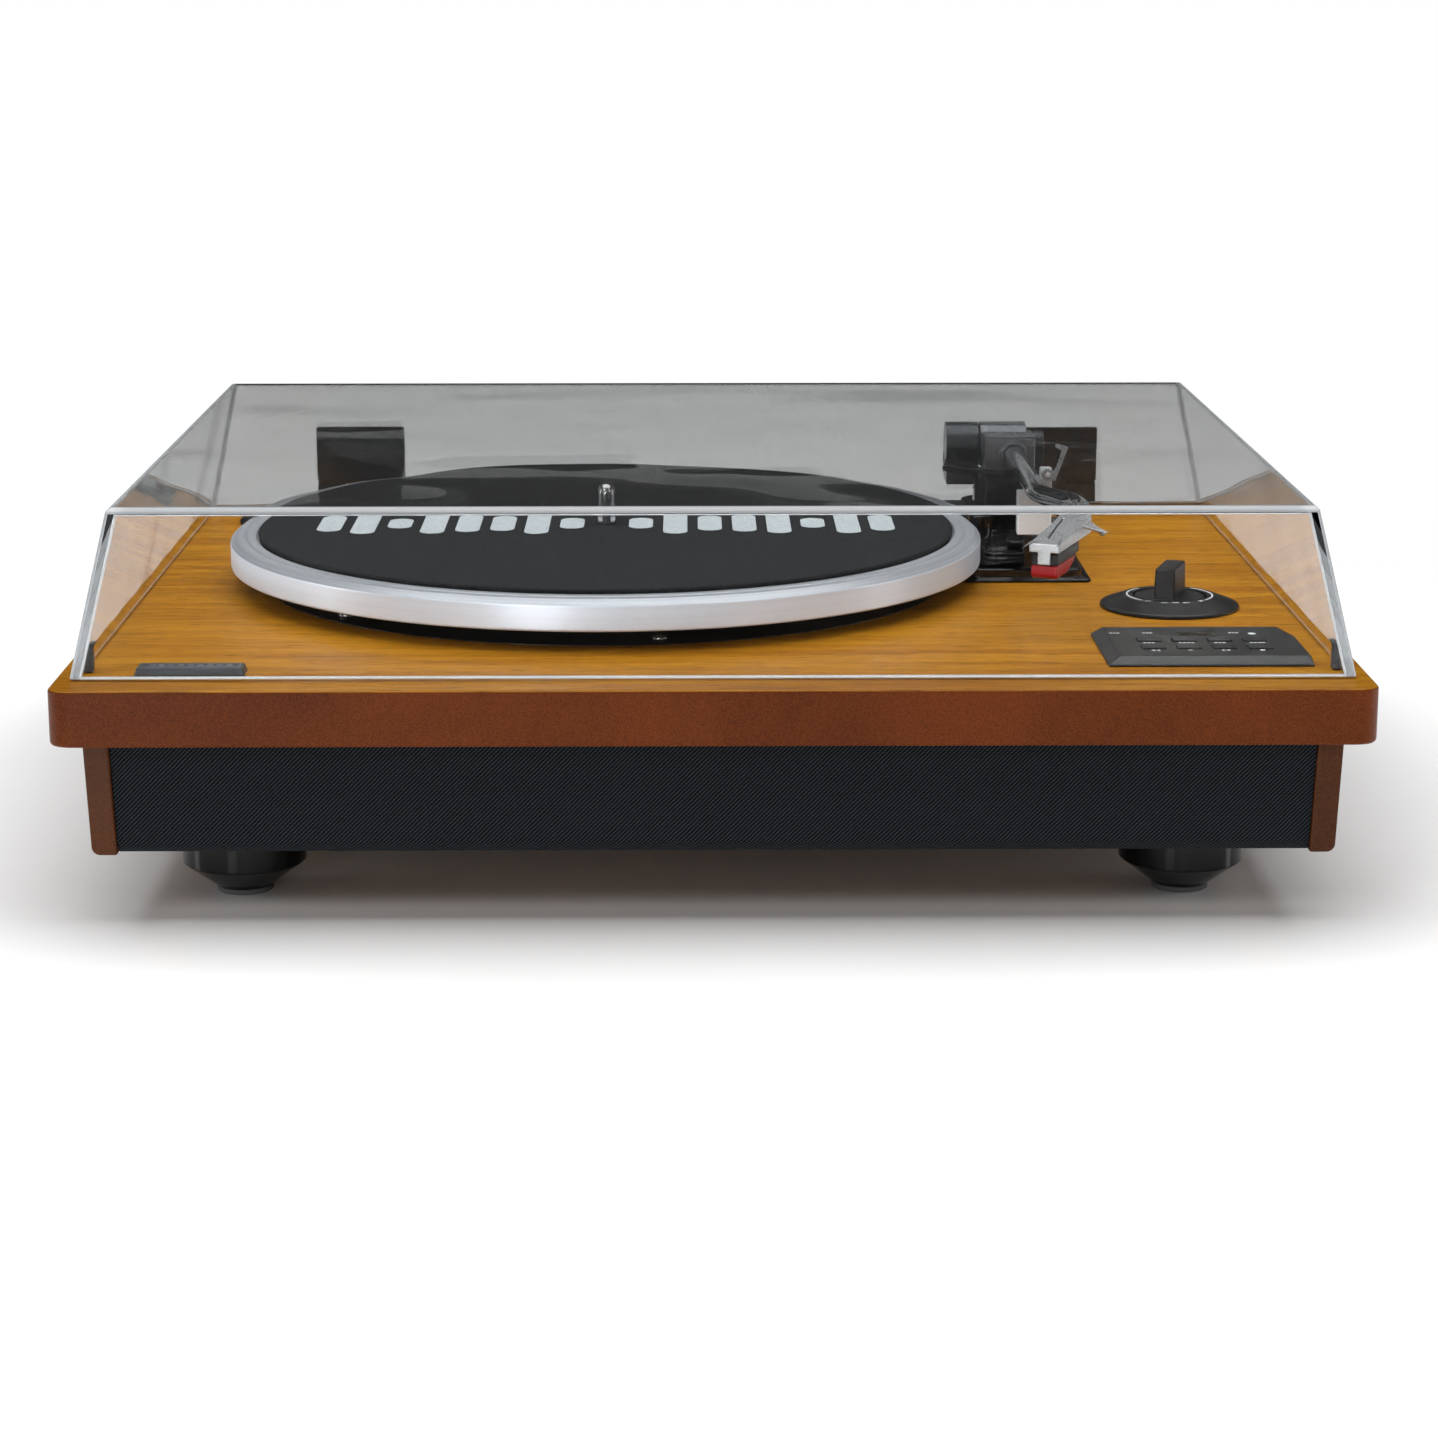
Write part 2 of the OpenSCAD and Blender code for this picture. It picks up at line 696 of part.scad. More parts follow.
module arm_rest() {
    floor_z = tube_z - tube_r - moving_gap;
    color("silver") at_pivot() translate([0, -rest_y, 0]) {
        translate([-4.5, -3, 18.8]) cube([13.5, 6, floor_z - 18.8]);
        translate([tube_r + 0.4, -3, floor_z - 1]) cube([9 - tube_r - 0.4, 6, clip_z + 2.4 - floor_z + 1]);
        translate([clip_dx, -6, clip_z]) rod_y(1, 4);
    }
}

// The clip is drawn shut over the tube, then turned to its open place.
module arm_clip() {
    reach = clip_dx + tube_r + 1.9;
    top = tube_z + tube_r + 0.5 - clip_z;
    color("gray") at_pivot() translate([clip_dx, -rest_y - 5.6, clip_z]) rotate([0, clip_open, 0]) difference() {
        union() {
            rod_y(2.3, 2);
            along_y(2) polygon([[2, -0.6], [1.2, top + 1.6], [-reach, top + 1.6], [-reach, -1.2],
                [1.5 - reach, -1.2], [2 - reach, top], [-2, top], [-2, -0.6]]);
        }
        translate([0, -cut, 0]) rod_y(1 + running_gap, 2 + 2 * cut);
    }
}

module cue_lever() {
    color("black") at_pivot() translate([lever_dx, lever_dy, lever_z]) {
        translate([-2.5, 0, 0]) rod_x(3.2, 5);
        translate([-4.8, 0, 0]) rod_x(1.5, 9.6);
        translate([-1.8, -24, -1.4]) cube([3.6, 23, 2.8]);
        translate([-2.4, -30, -1.8]) cube([4.8, 8, 3.6]);
    }
}

module cue_lift() {
    top = tube_z - tube_r - 0.3;
    color("dimgray") at_pivot() {
        rotate(-90 - 58) translate([0, 0, top - 2.5])
            rotate_extrude(angle = 64) translate([cue_r - 2, 0]) square([4, 2.5]);
        rotate(-cue_angle) translate([0, -cue_r, 5]) cylinder(r = 2.5, h = top - 6);
    }
}

module arm_yoke() {
    r = barrel_d / 2;
    color("dimgray") at_pivot() {
        translate([-27, -8, 24.5]) cube([40.8, 16, 5]);
        translate([0, 0, 9.3]) cylinder(r = 4, h = 17);
        translate([-27, -7, 26]) cube([13.6, 14, barrel_z - 30]);
        translate([-27.2, 0, barrel_z]) rod_x(r, 13.8);
        translate([9.8, -5, 26]) cube([4, 10, barrel_z - 26]);
        translate([9.8, 0, barrel_z]) rod_x(5.5, 4.4);
        translate([-14, 0, barrel_z]) rod_x(2, 25);
    }
}

module arm_block() {
    r = barrel_d / 2;
    color("gray") at_pivot() difference() {
        union() {
            translate([-12.9, 0, barrel_z]) rod_x(r, 19.4);
            translate([-12, -18, barrel_z - r + 0.3]) cube([21.2, 18, 14.6]);
            translate([0, -19.4, tube_z]) rod_y(tube_r + 1.4, 5);
            translate([0, 5, tube_z]) rod_y(3, 30);
        }
        translate([-14, 0, barrel_z]) rod_x(2 + running_gap, 25);
        translate([0, -20.4, tube_z]) rod_y(tube_r, 11);
    }
}

// The arm's centre line: X, Y and the turn from straight ahead at each ring of the tube.
arm_line = concat(
    [[0, -9.6, 0]],
    [for (i = [0:8]) let (t = head_bend_1 * i / 8)
        [head_r_1 * (1 - cos(t)), -tube_straight - head_r_1 * sin(t), t]],
    [for (i = [0:14]) let (a = head_bend_1, t = a - (a + offset_angle) * i / 14)
        [head_r_1 * (1 - cos(a)) + head_run * sin(a) + head_r_2 * (cos(t) - cos(a)),
        -tube_straight - head_r_1 * sin(a) - head_run * cos(a) + head_r_2 * (sin(t) - sin(a)), t]]);

// Places the children at the end of the bends, with -Y along the headshell.
module at_headshell() {
    end = arm_line[len(arm_line) - 1];
    at_pivot() translate([end[0], end[1], tube_z]) rotate(end[2]) children();
}

// A round bar swept along a flat line of [X, Y, turn].
module bent_bar(line, r, sides = 32) {
    rings = len(line);
    polyhedron(
        points = [for (s = line, j = [0:sides - 1]) let (phi = 360 * j / sides)
            [s[0] + r * cos(phi) * cos(s[2]), s[1] + r * cos(phi) * sin(s[2]), r * sin(phi)]],
        faces = concat(
            [[for (j = [0:sides - 1]) j]],
            [for (i = [0:rings - 2], j = [0:sides - 1])
                [i * sides + j, (i + 1) * sides + j, (i + 1) * sides + (j + 1) % sides,
                i * sides + (j + 1) % sides]],
            [[for (j = [sides - 1:-1:0]) (rings - 1) * sides + j]]));
}

module arm_tube() { color("silver") at_pivot() translate([0, 0, tube_z]) bent_bar(arm_line, tube_r); }

// Side outline of the headshell: distance forwards, height over the tube's axis.
headshell_side = [
    [0, -4.4], [2, -4.6], [headshell_l - 1, -5], [headshell_l, -4.8], [headshell_l, -1.7],
    [headshell_l - 5, -0.4], [30, 2], [20, 3.7], [12, 4.7], [6, 4.9], [2, 4.4], [0, 3.4]];

module headshell() {
    w = headshell_w;
    color("silver") at_headshell() {
        difference() {
            translate([-w / 2, 0, 0]) along_x(w) polygon([for (p = headshell_side) [-p[0], p[1]]]);
            each_side() translate([w / 2 - 2.6, 1, 4.4]) rotate([0, 45, 0]) rotate([3, 0, 0])
                translate([0, -60, 0]) cube([6, 62, 6]);
            translate([-0.35, -headshell_l - 1, 0.2]) rotate([-7, 0, 0]) cube([0.7, 27, 9]);
            translate([-w / 2 + 1.2, -headshell_l + 3, -6]) cube([w - 2.4, headshell_l - 12, 4.6]);
        }
        translate([-2.4, -headshell_l, -9.4]) cube([4.8, 1.2, 5]);
        translate([w / 2 - 1.2, -9, -0.4]) rotate([0, 30, 0]) linear_extrude(1)
            polygon([[0, -4], [7.6, 4.6], [7.6, 6.8], [4, 7], [0, 8]]);
        translate([w / 2 + 5, -3.4, -3.8]) sphere(r = 1.3);
    }
}

module cartridge() {
    w = headshell_w - 2.6;
    color("black") at_headshell() {
        translate([-w / 2, -headshell_l + 3.3, -9.6]) cube([w, 30, 8]);
        translate([-w / 2 - 0.6, -headshell_l + 1.4, -9.8]) cube([w + 1.2, 26, 4.4]);
    }
}

module stylus() {
    w = headshell_w - 1.6;
    tip = needle_z - tube_z;
    color("red") at_headshell() {
        translate([-w / 2, 0, 0]) along_x(w) polygon([
            [0.6 - headshell_l, -9.8], [-19, -9.8], [-22, -12], [-30, -14.4], [2 - headshell_l, -14.6],
            [0.6 - headshell_l, -13.4]]);
        translate([-0.9, -headshell_l + 3.4, tip + 1]) cube([1.8, 2, -13 - tip]);
        translate([0, -headshell_l + 4.4, tip]) cylinder(r1 = 0.3, r2 = 0.7, h = 1.2, $fn = 24);
    }
}

module counterweight() {
    color("dimgray") at_pivot() translate([0, 11, tube_z]) difference() {
        translate([-4, 0, -0.5]) along_y(22) polygon(round_rect(30, 12.4, 4));
        translate([0, -cut, 0]) rod_y(3, 25);
    }
}

// ---- lid ----

module lid_solid(in, top, low) {
    run = (lid_h - lid_gap);
    function lean(total, z) = total * (z - lid_gap) / run;
    x_low = lid_x - in - lean(lid_lean_x, low);
    x_top = lid_x - in - lean(lid_lean_x, top);
    f_low = lid_front + in + lean(lid_lean_front, low);
    f_top = lid_front + in + lean(lid_lean_front, top);
    b_low = lid_back - in - lean(lid_lean_back, low);
    b_top = lid_back - in - lean(lid_lean_back, top);
    on_deck() intersection() {
        translate([0, f_low, 0]) along_y(b_low - f_low)
            polygon([[-x_low, low], [x_low, low], [x_top, top], [-x_top, top]]);
        translate([-x_low, 0, 0]) along_x(2 * x_low)
            polygon([[f_low, low], [b_low, low], [b_top, top], [f_top, top]]);
    }
}

module dust_lid() {
    color("lightgray", 0.4) difference() {
        lid_solid(0, lid_h, lid_gap);
        lid_solid(lid_wall, lid_h - lid_wall, lid_gap - cut);
    }
}

module lid_buffers() {
    slope = lid_lean_x / (lid_h - lid_gap);
    x0 = lid_x - lid_wall;
    color("dimgray") on_deck() each_side() translate([0, lid_front + 13, 0]) along_y(5) polygon([
        [x0 - 3.2, 0.3], [x0 - 0.1, 0.3], [x0, lid_gap], [x0 - slope * (10.8 - lid_gap), 10.8],
        [x0 - slope * (10.8 - lid_gap) - 2.4, 10.8], [x0 - 3.2, 9]]);
}

module each_hinge() {
    for (x = [-hinge_x, hinge_x]) translate([x, 0, deck]) children();
}

// The leaf is fixed to the lid's back wall and turns on the pin.
module hinge_leaves() {
    slope = lid_lean_back / (lid_h - lid_gap);
    low = hinge_z + knuckle_r + moving_gap;
    high = 35;
    color("black") each_hinge() difference() {
        union() {
            translate([-hinge_w / 2, 0, 0]) along_x(hinge_w) polygon([
                [lid_back - slope * (low - lid_gap), low], [hinge_y + 0.5, low],
                [hinge_y + 0.5, high - 2], [hinge_y - 1, high], [lid_back - slope * (high - lid_gap), high]]);
            translate([-hinge_w / 6, 0, 0]) along_x(hinge_w / 3) polygon([
                [hinge_y - 3.6, hinge_z], [hinge_y + 0.5, hinge_z], [hinge_y + 0.5, low + 1],
                [hinge_y - 3.6, low + 1]]);
            translate([-hinge_w / 6, hinge_y, hinge_z]) rod_x(knuckle_r, hinge_w / 3);
        }
        translate([-hinge_w / 2, hinge_y, hinge_z]) rod_x(hinge_pin_d / 2 + running_gap, hinge_w);
    }
}

module hinge_bases() {
    ear = hinge_w / 3 - moving_gap;
    floor_y = 4.2;
    color("black") each_hinge() difference() {
        union() {
            for (x = [-hinge_w / 2, hinge_w / 2 - ear]) translate([x, hinge_y, 0]) {
                translate([0, 0, hinge_z]) rod_x(knuckle_r, ear);
                translate([0, -floor_y, 0]) cube([ear, 2 * floor_y, hinge_z]);
            }
            translate([-hinge_w / 2, hinge_y - floor_y, 0]) cube([hinge_w, 2 * floor_y, 1.2]);
        }
        translate([-hinge_w / 2 - cut, hinge_y, hinge_z]) rod_x(hinge_pin_d / 2 + 0.02, hinge_w + 2 * cut);
    }
}

module hinge_pins() {
    color("silver") each_hinge()
        translate([-hinge_w / 2, hinge_y, hinge_z]) rod_x(hinge_pin_d / 2, hinge_w);
}

// ---- electrics ----

module rear_sockets() {
    y = box_back - 2 - back_t;
    color("gray") {
        translate([socket_x[0], y, socket_z]) difference() {
            translate([0, -6, 0]) rod_y(6, back_t + 7);
            translate([0, -4, 0]) rod_y(2.8, back_t + 6);
        }
        translate([socket_x[0], y - 6, socket_z]) rod_y(1, back_t + 5);
        for (i = [1, 2]) translate([socket_x[i], y, socket_z]) difference() {
            union() {
                translate([0, -6, 0]) rod_y(5, back_t + 7);
                rod_y(4.1, back_t + 8);
            }
            translate([0, -3, 0]) rod_y(1.6, back_t + 13);
        }
    }
}

module main_board() {
    w = 110;
    d = 70;
    at = [20, foot_y - 55, box_z + bottom_t];
    color("seagreen") translate(at) {
        translate([0, 0, 4]) plate(w, d, 1.6, 2);
        for (x = [-w / 2 + 6, w / 2 - 6], y = [-d / 2 + 6, d / 2 - 6])
            translate([x, y, 0]) cylinder(r = 3, h = 4.5);
        translate([-20, -12, 5.6]) plate(30, 18, 9, 1);
        translate([18, -14, 5.6]) plate(14, 14, 2, 0.5);
        for (x = [20, 34]) translate([x, 14, 5.6]) cylinder(r = 5, h = 13);
        translate([-34, 16, 5.6]) cylinder(r = 6, h = 14);
    }
}

top_slab();
left_cheek();
right_cheek();
front_baffle();
grille_cloth();
back_panel();
bottom_panel();
feet();
foot_pads();
wood_screws();
speaker_frames();
speaker_cones();
speaker_magnets();
platter_tray();
bearing_housing();
motor();
motor_pulley();
drive_belt();
platter();
mat();
spindle();
switch_plate();
speed_switch();
autostop_switch();
control_panel();
button(0);  // power_button
button(1);  // source_button
button(2);  // record_button
button(3);  // repeat_button
button(4);  // back_button
button(5);  // play_button
button(6);  // next_button
button(7);  // stop_button
usb_socket();
status_led();
control_board();
volume_bezel();
volume_knob();
potentiometer();
badge();
tonearm_base();
pivot_post();
arm_rest();
arm_clip();
cue_lever();
cue_lift();
arm_yoke();
arm_block();
arm_tube();
headshell();
cartridge();
stylus();
counterweight();
dust_lid();
lid_buffers();
hinge_leaves();
hinge_bases();
hinge_pins();
rear_sockets();
main_board();
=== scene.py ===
import json
import math
import random

import bmesh
import bpy
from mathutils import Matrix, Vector


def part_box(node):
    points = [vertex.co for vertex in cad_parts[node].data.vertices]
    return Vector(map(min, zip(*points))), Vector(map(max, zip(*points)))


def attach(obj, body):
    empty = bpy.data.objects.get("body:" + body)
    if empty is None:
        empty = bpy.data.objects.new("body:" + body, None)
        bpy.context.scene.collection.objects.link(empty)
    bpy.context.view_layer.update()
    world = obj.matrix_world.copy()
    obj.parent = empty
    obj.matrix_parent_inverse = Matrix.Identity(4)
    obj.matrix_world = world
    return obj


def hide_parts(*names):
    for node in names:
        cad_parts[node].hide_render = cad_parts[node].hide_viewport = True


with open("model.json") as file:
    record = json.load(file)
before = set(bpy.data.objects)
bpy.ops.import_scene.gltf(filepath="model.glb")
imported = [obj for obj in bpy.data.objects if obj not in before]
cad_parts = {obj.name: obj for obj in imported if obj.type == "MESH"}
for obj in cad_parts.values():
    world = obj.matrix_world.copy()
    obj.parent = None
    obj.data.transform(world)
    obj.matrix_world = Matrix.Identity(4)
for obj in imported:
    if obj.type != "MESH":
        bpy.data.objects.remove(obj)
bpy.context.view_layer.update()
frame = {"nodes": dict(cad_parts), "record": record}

# ---- camera ----
# A long lens a little over a metre in front of the player and slightly above its lid.

camera_lens = bpy.data.cameras.new("camera")
camera_lens.lens = 83.54
camera_lens.sensor_width = 36
camera = bpy.data.objects.new("camera", camera_lens)
camera.location = (-0.0102, -1.3044, 0.341)
camera.rotation_euler = (math.radians(76.7), 0, math.radians(-0.6))
bpy.context.collection.objects.link(camera)
bpy.context.scene.camera = camera
bpy.context.scene.view_settings.view_transform = "Standard"

# ---- studio ----
# A pale, faintly glossy table under one wide overhead softbox, with lower ones in front and
# strips at the sides. Away from the player the table glows white, like the wall behind it.


def linear(red, green, blue):
    """A colour given as on a screen, 0 to 255, as linear red, green, blue and alpha."""
    parts = [c / 255 for c in (red, green, blue)]
    return (*[c / 12.92 if c < 0.04 else ((c + 0.055) / 1.055) ** 2.4 for c in parts], 1)


def feed(tree, socket, value):
    """Sets an input socket to a constant, or links it to an output socket."""
    if isinstance(value, bpy.types.NodeSocket):
        tree.links.new(value, socket)
    else:
        socket.default_value = value


def put(tree, kind, **values):
    """A shader node. Lower-case names are its settings, and capitalised ones its sockets."""
    made = tree.nodes.new("ShaderNode" + kind)
    for name, value in values.items():
        if name[0].islower():
            setattr(made, name, value)
        else:
            feed(tree, made.inputs[name.replace("_", " ")], value)
    return made


def calc(tree, operation, first, second=0.0):
    """The result of one sum on two numbers or sockets."""
    made = put(tree, "Math", operation=operation)
    for socket, value in zip(made.inputs, (first, second)):
        feed(tree, socket, value)
    return made.outputs[0]


def fade(tree, value, start, end, low=0.0, high=1.0):
    """Takes a value from low at start to high at end, with soft ends."""
    made = put(tree, "MapRange", interpolation_type="SMOOTHSTEP", Value=value)
    for name, number in (("From Min", start), ("From Max", end), ("To Min", low), ("To Max", high)):
        made.inputs[name].default_value = number
    return made.outputs[0]


def mixed(tree, share, first, second):
    """Two colours mixed by a share from 0 to 1."""
    made = put(tree, "Mix", data_type="RGBA")
    for index, value in ((0, share), (6, first), (7, second)):
        feed(tree, made.inputs[index], value)
    return made.outputs[2]


def new_material(name, **constants):
    """A material, its node tree and its Principled shader with the given constants."""
    made = bpy.data.materials.new(name)
    made.use_nodes = True
    shader = made.node_tree.nodes["Principled BSDF"]
    for socket, value in constants.items():
        shader.inputs[socket.replace("_", " ")].default_value = value
    return made, made.node_tree, shader


def join(tree, source, target):
    """Links an output socket to an input socket."""
    tree.links.new(source, target)


def add_bump(tree, shader, height, distance, strength=1.0):
    """Raises the surface by a height from 0 to 1, times the distance in metres."""
    bump = put(tree, "Bump", Height=height, Distance=distance, Strength=strength)
    join(tree, bump.outputs["Normal"], shader.inputs["Normal"])


def build_floor():
    """The glow starts on an ellipse round the player and is full on a wider one."""
    half_width, front, back = 1.1, -0.95, 0.5
    ellipse_x, ellipse_y, glow_start, glow_full, glow_level = 0.27, 0.24, 0.95, 1.7, 0.34
    mesh = bpy.data.meshes.new("floor")
    corners = [(-half_width, front, 0), (half_width, front, 0),
               (half_width, back, 0), (-half_width, back, 0)]
    mesh.from_pydata(corners, [], [(0, 1, 2, 3)])
    made = bpy.data.objects.new("floor", mesh)
    bpy.context.collection.objects.link(made)
    material, tree, shader = new_material("pale_table", Roughness=0.2, IOR=1.45,
                                          Emission_Strength=1.0)
    vector = put(tree, "TexCoord").outputs["Object"]
    place = put(tree, "SeparateXYZ", Vector=vector)
    across = calc(tree, "DIVIDE", place.outputs["X"], ellipse_x)
    along = calc(tree, "DIVIDE", place.outputs["Y"], ellipse_y)
    reach = calc(tree, "SQRT", calc(tree, "ADD", calc(tree, "MULTIPLY", across, across),
                                    calc(tree, "MULTIPLY", along, along)))
    share = fade(tree, reach, glow_start, glow_full, 0.0, glow_level)
    glow = mixed(tree, share, (0, 0, 0, 1), (1, 1, 1, 1))
    join(tree, glow, shader.inputs["Emission Color"])
    grain = put(tree, "TexNoise", Vector=vector, Scale=9.0)
    shade = mixed(tree, grain.outputs[0], linear(243, 243, 243), linear(250, 250, 250))
    join(tree, shade, shader.inputs["Base Color"])
    mesh.materials.append(material)
    return made


build_floor()


def softbox(name, at, aim, width, height, watts, mirrored=True):
    """A rectangular lamp that faces a point, and is mirrored in glossy surfaces or not."""
    light = bpy.data.lights.new(name, "AREA")
    light.shape = "RECTANGLE"
    light.size, light.size_y, light.energy = width, height, watts
    lamp = bpy.data.objects.new(name, light)
    lamp.location = at
    lamp.rotation_euler = (Vector(aim) - Vector(at)).to_track_quat("-Z", "Y").to_euler()
    lamp.visible_glossy = mirrored
    bpy.context.collection.objects.link(lamp)


softbox("overhead", (0, -0.05, 1.5), (0, -0.05, 0), 2.2, 1.6, 36)
softbox("front_left", (-1.0, -1.6, 1.25), (0, 0, 0.05), 0.8, 0.5, 9, False)
softbox("front_right", (1.3, -1.3, 0.9), (0.1, 0, 0.05), 0.5, 0.6, 4, False)
softbox("high_strip", (0.1, -2.0, 0.7), (0, 0, 0.1), 0.6, 0.12, 1.0)
softbox("left_strip", (-1.4, -0.1, 0.35), (0, 0, 0.08), 0.25, 0.7, 3)
softbox("front_low", (-0.55, -1.5, 0.17), (0, 0, 0.08), 0.4, 0.3, 3.4)
softbox("right_strip", (1.4, -0.1, 0.35), (0, 0, 0.08), 0.25, 0.7, 3)


def build_world():
    """White where the camera looks straight at it; darker in front and grey behind elsewhere."""
    world = bpy.data.worlds.new("studio")
    bpy.context.scene.world = world
    world.use_nodes = True
    tree = world.node_tree
    tree.nodes.clear()
    way = put(tree, "SeparateXYZ", Vector=put(tree, "TexCoord").outputs["Generated"])
    below = fade(tree, way.outputs["Z"], -0.14, 0.03, 1.05, 0.0)
    behind = fade(tree, way.outputs["Y"], -0.25, 0.35)
    darkest = 0.022
    level = calc(tree, "ADD", calc(tree, "MULTIPLY", behind, below), darkest)
    seen = put(tree, "Background", Color=(1, 1, 1, 1), Strength=1.0)
    lit = put(tree, "Background", Color=(1, 1, 1, 1), Strength=level)
    direct = put(tree, "LightPath").outputs["Is Camera Ray"]
    choice = put(tree, "MixShader", Fac=direct)
    join(tree, lit.outputs[0], choice.inputs[1])
    join(tree, seen.outputs[0], choice.inputs[2])
    join(tree, choice.outputs[0], put(tree, "OutputWorld").inputs["Surface"])


build_world()

# ---- top board ----
# A 20 mm fibre board with a honey-coloured veneer on top and a red-brown stain on its edge,
# with the arrises sanded round. Everything else is screwed to it.

bodies = frame["record"]["behaviour"]["bodies"]
body_of_node = {node: body for body, nodes in bodies.items() for node in nodes}


def node_shape(node):
    """A CAD node's mesh as a bmesh, with the flat faces' triangles joined."""
    made = bmesh.new()
    made.from_mesh(frame["nodes"][node].data)
    bmesh.ops.remove_doubles(made, verts=made.verts, dist=1e-6)
    bmesh.ops.dissolve_limit(made, angle_limit=math.radians(0.6),
                             verts=made.verts, edges=made.edges)
    return made


def sharp_edges(shape, bend):
    """The edges between two faces that turn by more than the bend, in degrees."""
    return [e for e in shape.edges
            if len(e.link_faces) == 2 and e.calc_face_angle(0) > math.radians(bend)]


def eased(node, edge, steps=2, only=None):
    """A CAD node's mesh with its edges rounded over, as a bmesh."""
    made = node_shape(node)
    sharp = sharp_edges(made, 28)
    if only:
        sharp = [e for e in sharp if only((e.verts[0].co + e.verts[1].co) / 2)]
    bmesh.ops.bevel(made, geom=sharp, offset=edge, segments=steps, profile=0.5, affect="EDGES")
    return made


def add_piece(name, shape, material, body="plinth", stands_for=(), crease=32):
    """Turns a bmesh into a piece that rides on a body and stands for CAD nodes."""
    bmesh.ops.recalc_face_normals(shape, faces=shape.faces)
    mesh = bpy.data.meshes.new(name)
    shape.to_mesh(mesh)
    shape.free()
    mesh.shade_smooth()
    mesh.set_sharp_from_angle(angle=math.radians(crease))
    mesh.materials.append(material)
    made = bpy.data.objects.new(name, mesh)
    bpy.context.collection.objects.link(made)
    even = made.modifiers.new("even_normals", "WEIGHTED_NORMAL")
    even.keep_sharp = True
    even.weight = 100
    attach(made, body)
    if stands_for:
        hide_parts(*stands_for)
    return made


def finish_node(name, node, edge, material, steps=2, crease=32, only=None):
    """A CAD node as a piece on its own body, its edges rounded over by a width in metres."""
    return add_piece(name, eased(node, edge, steps, only=only), material,
                     body_of_node[node], [node], crease)


def effect_group(name, inputs, outputs):
    """An empty node group, its input sockets and its output sockets."""
    group = bpy.data.node_groups.new(name, "ShaderNodeTree")
    kinds = {"color": "NodeSocketColor", "number": "NodeSocketFloat", "vector": "NodeSocketVector"}
    for label, kind, value in inputs:
        socket = group.interface.new_socket(name=label, in_out="INPUT", socket_type=kinds[kind])
        if value is not None:
            socket.default_value = value
    for label, kind in outputs:
        group.interface.new_socket(name=label, in_out="OUTPUT", socket_type=kinds[kind])
    return group, group.nodes.new("NodeGroupInput").outputs, group.nodes.new("NodeGroupOutput").inputs


def place_group(tree, group, **values):
    """One use of an effect in a material, with its own values."""
    made = tree.nodes.new("ShaderNodeGroup")
    made.node_tree = group
    for name, value in values.items():
        feed(tree, made.inputs[name.replace("_", " ")], value)
    return made.outputs


def stretched_noise(tree, vector, stretch, scale, detail, bend=0.0):
    """Noise drawn out along X by the stretch."""
    drawn_out = put(tree, "Mapping", Vector=vector, Scale=(1, stretch, stretch)).outputs[0]
    return put(tree, "TexNoise", Vector=drawn_out, Scale=scale, Detail=detail,
               Distortion=bend).outputs[0]


def build_wood_figure():
    """Plain-sliced veneer with its grain along X: soft bands, fine streaks and short pores."""
    group, given, out = effect_group(
        "wood_figure",
        [("Vector", "vector", None), ("Light", "color", (0.5, 0.3, 0.05, 1)),
         ("Middle", "color", (0.4, 0.2, 0.03, 1)), ("Dark", "color", (0.2, 0.08, 0.01, 1)),
         ("Streaks", "number", 1.0)],
        [("Color", "color"), ("Height", "number"), ("Roughness", "number")])
    vector = given["Vector"]
    bands = fade(group, stretched_noise(group, vector, 16, 7.0, 3.0, 0.5), 0.3, 0.72)
    streaks = fade(group, stretched_noise(group, vector, 34, 26.0, 5.0, 0.3), 0.52, 0.74)
    pores = fade(group, stretched_noise(group, vector, 22, 95.0, 2.0), 0.6, 0.67)
    streak_share = calc(group, "MULTIPLY", calc(group, "MULTIPLY", streaks, 0.72), given["Streaks"])
    pore_share = calc(group, "MULTIPLY", calc(group, "MULTIPLY", pores, 0.7), given["Streaks"])
    ground = mixed(group, bands, given["Light"], given["Middle"])
    streaked = mixed(group, streak_share, ground, given["Dark"])
    join(group, mixed(group, pore_share, streaked, given["Dark"]), out["Color"])
    join(group, calc(group, "SUBTRACT", calc(group, "MULTIPLY", streaks, -0.4), pores), out["Height"])
    join(group, calc(group, "ADD", calc(group, "MULTIPLY", pores, 0.16), 0.36), out["Roughness"])
    return group


wood_figure = build_wood_figure()


def build_stained_edge():
    """A stained and lacquered board edge: a fine fibre speckle over slow cloudy changes."""
    group, given, out = effect_group(
        "stained_edge",
        [("Vector", "vector", None), ("Light", "color", (0.2, 0.06, 0.02, 1)),
         ("Dark", "color", (0.08, 0.02, 0.005, 1)), ("Fineness", "number", 700.0)],
        [("Color", "color"), ("Height", "number")])
    fibre = put(group, "TexNoise", Vector=given["Vector"], Scale=given["Fineness"],
                Detail=4.0).outputs[0]
    clouds = put(group, "TexNoise", Vector=given["Vector"], Scale=16.0, Detail=3.0).outputs[0]
    speckle = fade(group, fibre, 0.34, 0.68)
    share = calc(group, "ADD", calc(group, "MULTIPLY", speckle, 0.55),
                 calc(group, "MULTIPLY", fade(group, clouds, 0.3, 0.7), 0.45))
    join(group, mixed(group, share, given["Light"], given["Dark"]), out["Color"])
    join(group, speckle, out["Height"])
    return group


stained_edge = build_stained_edge()


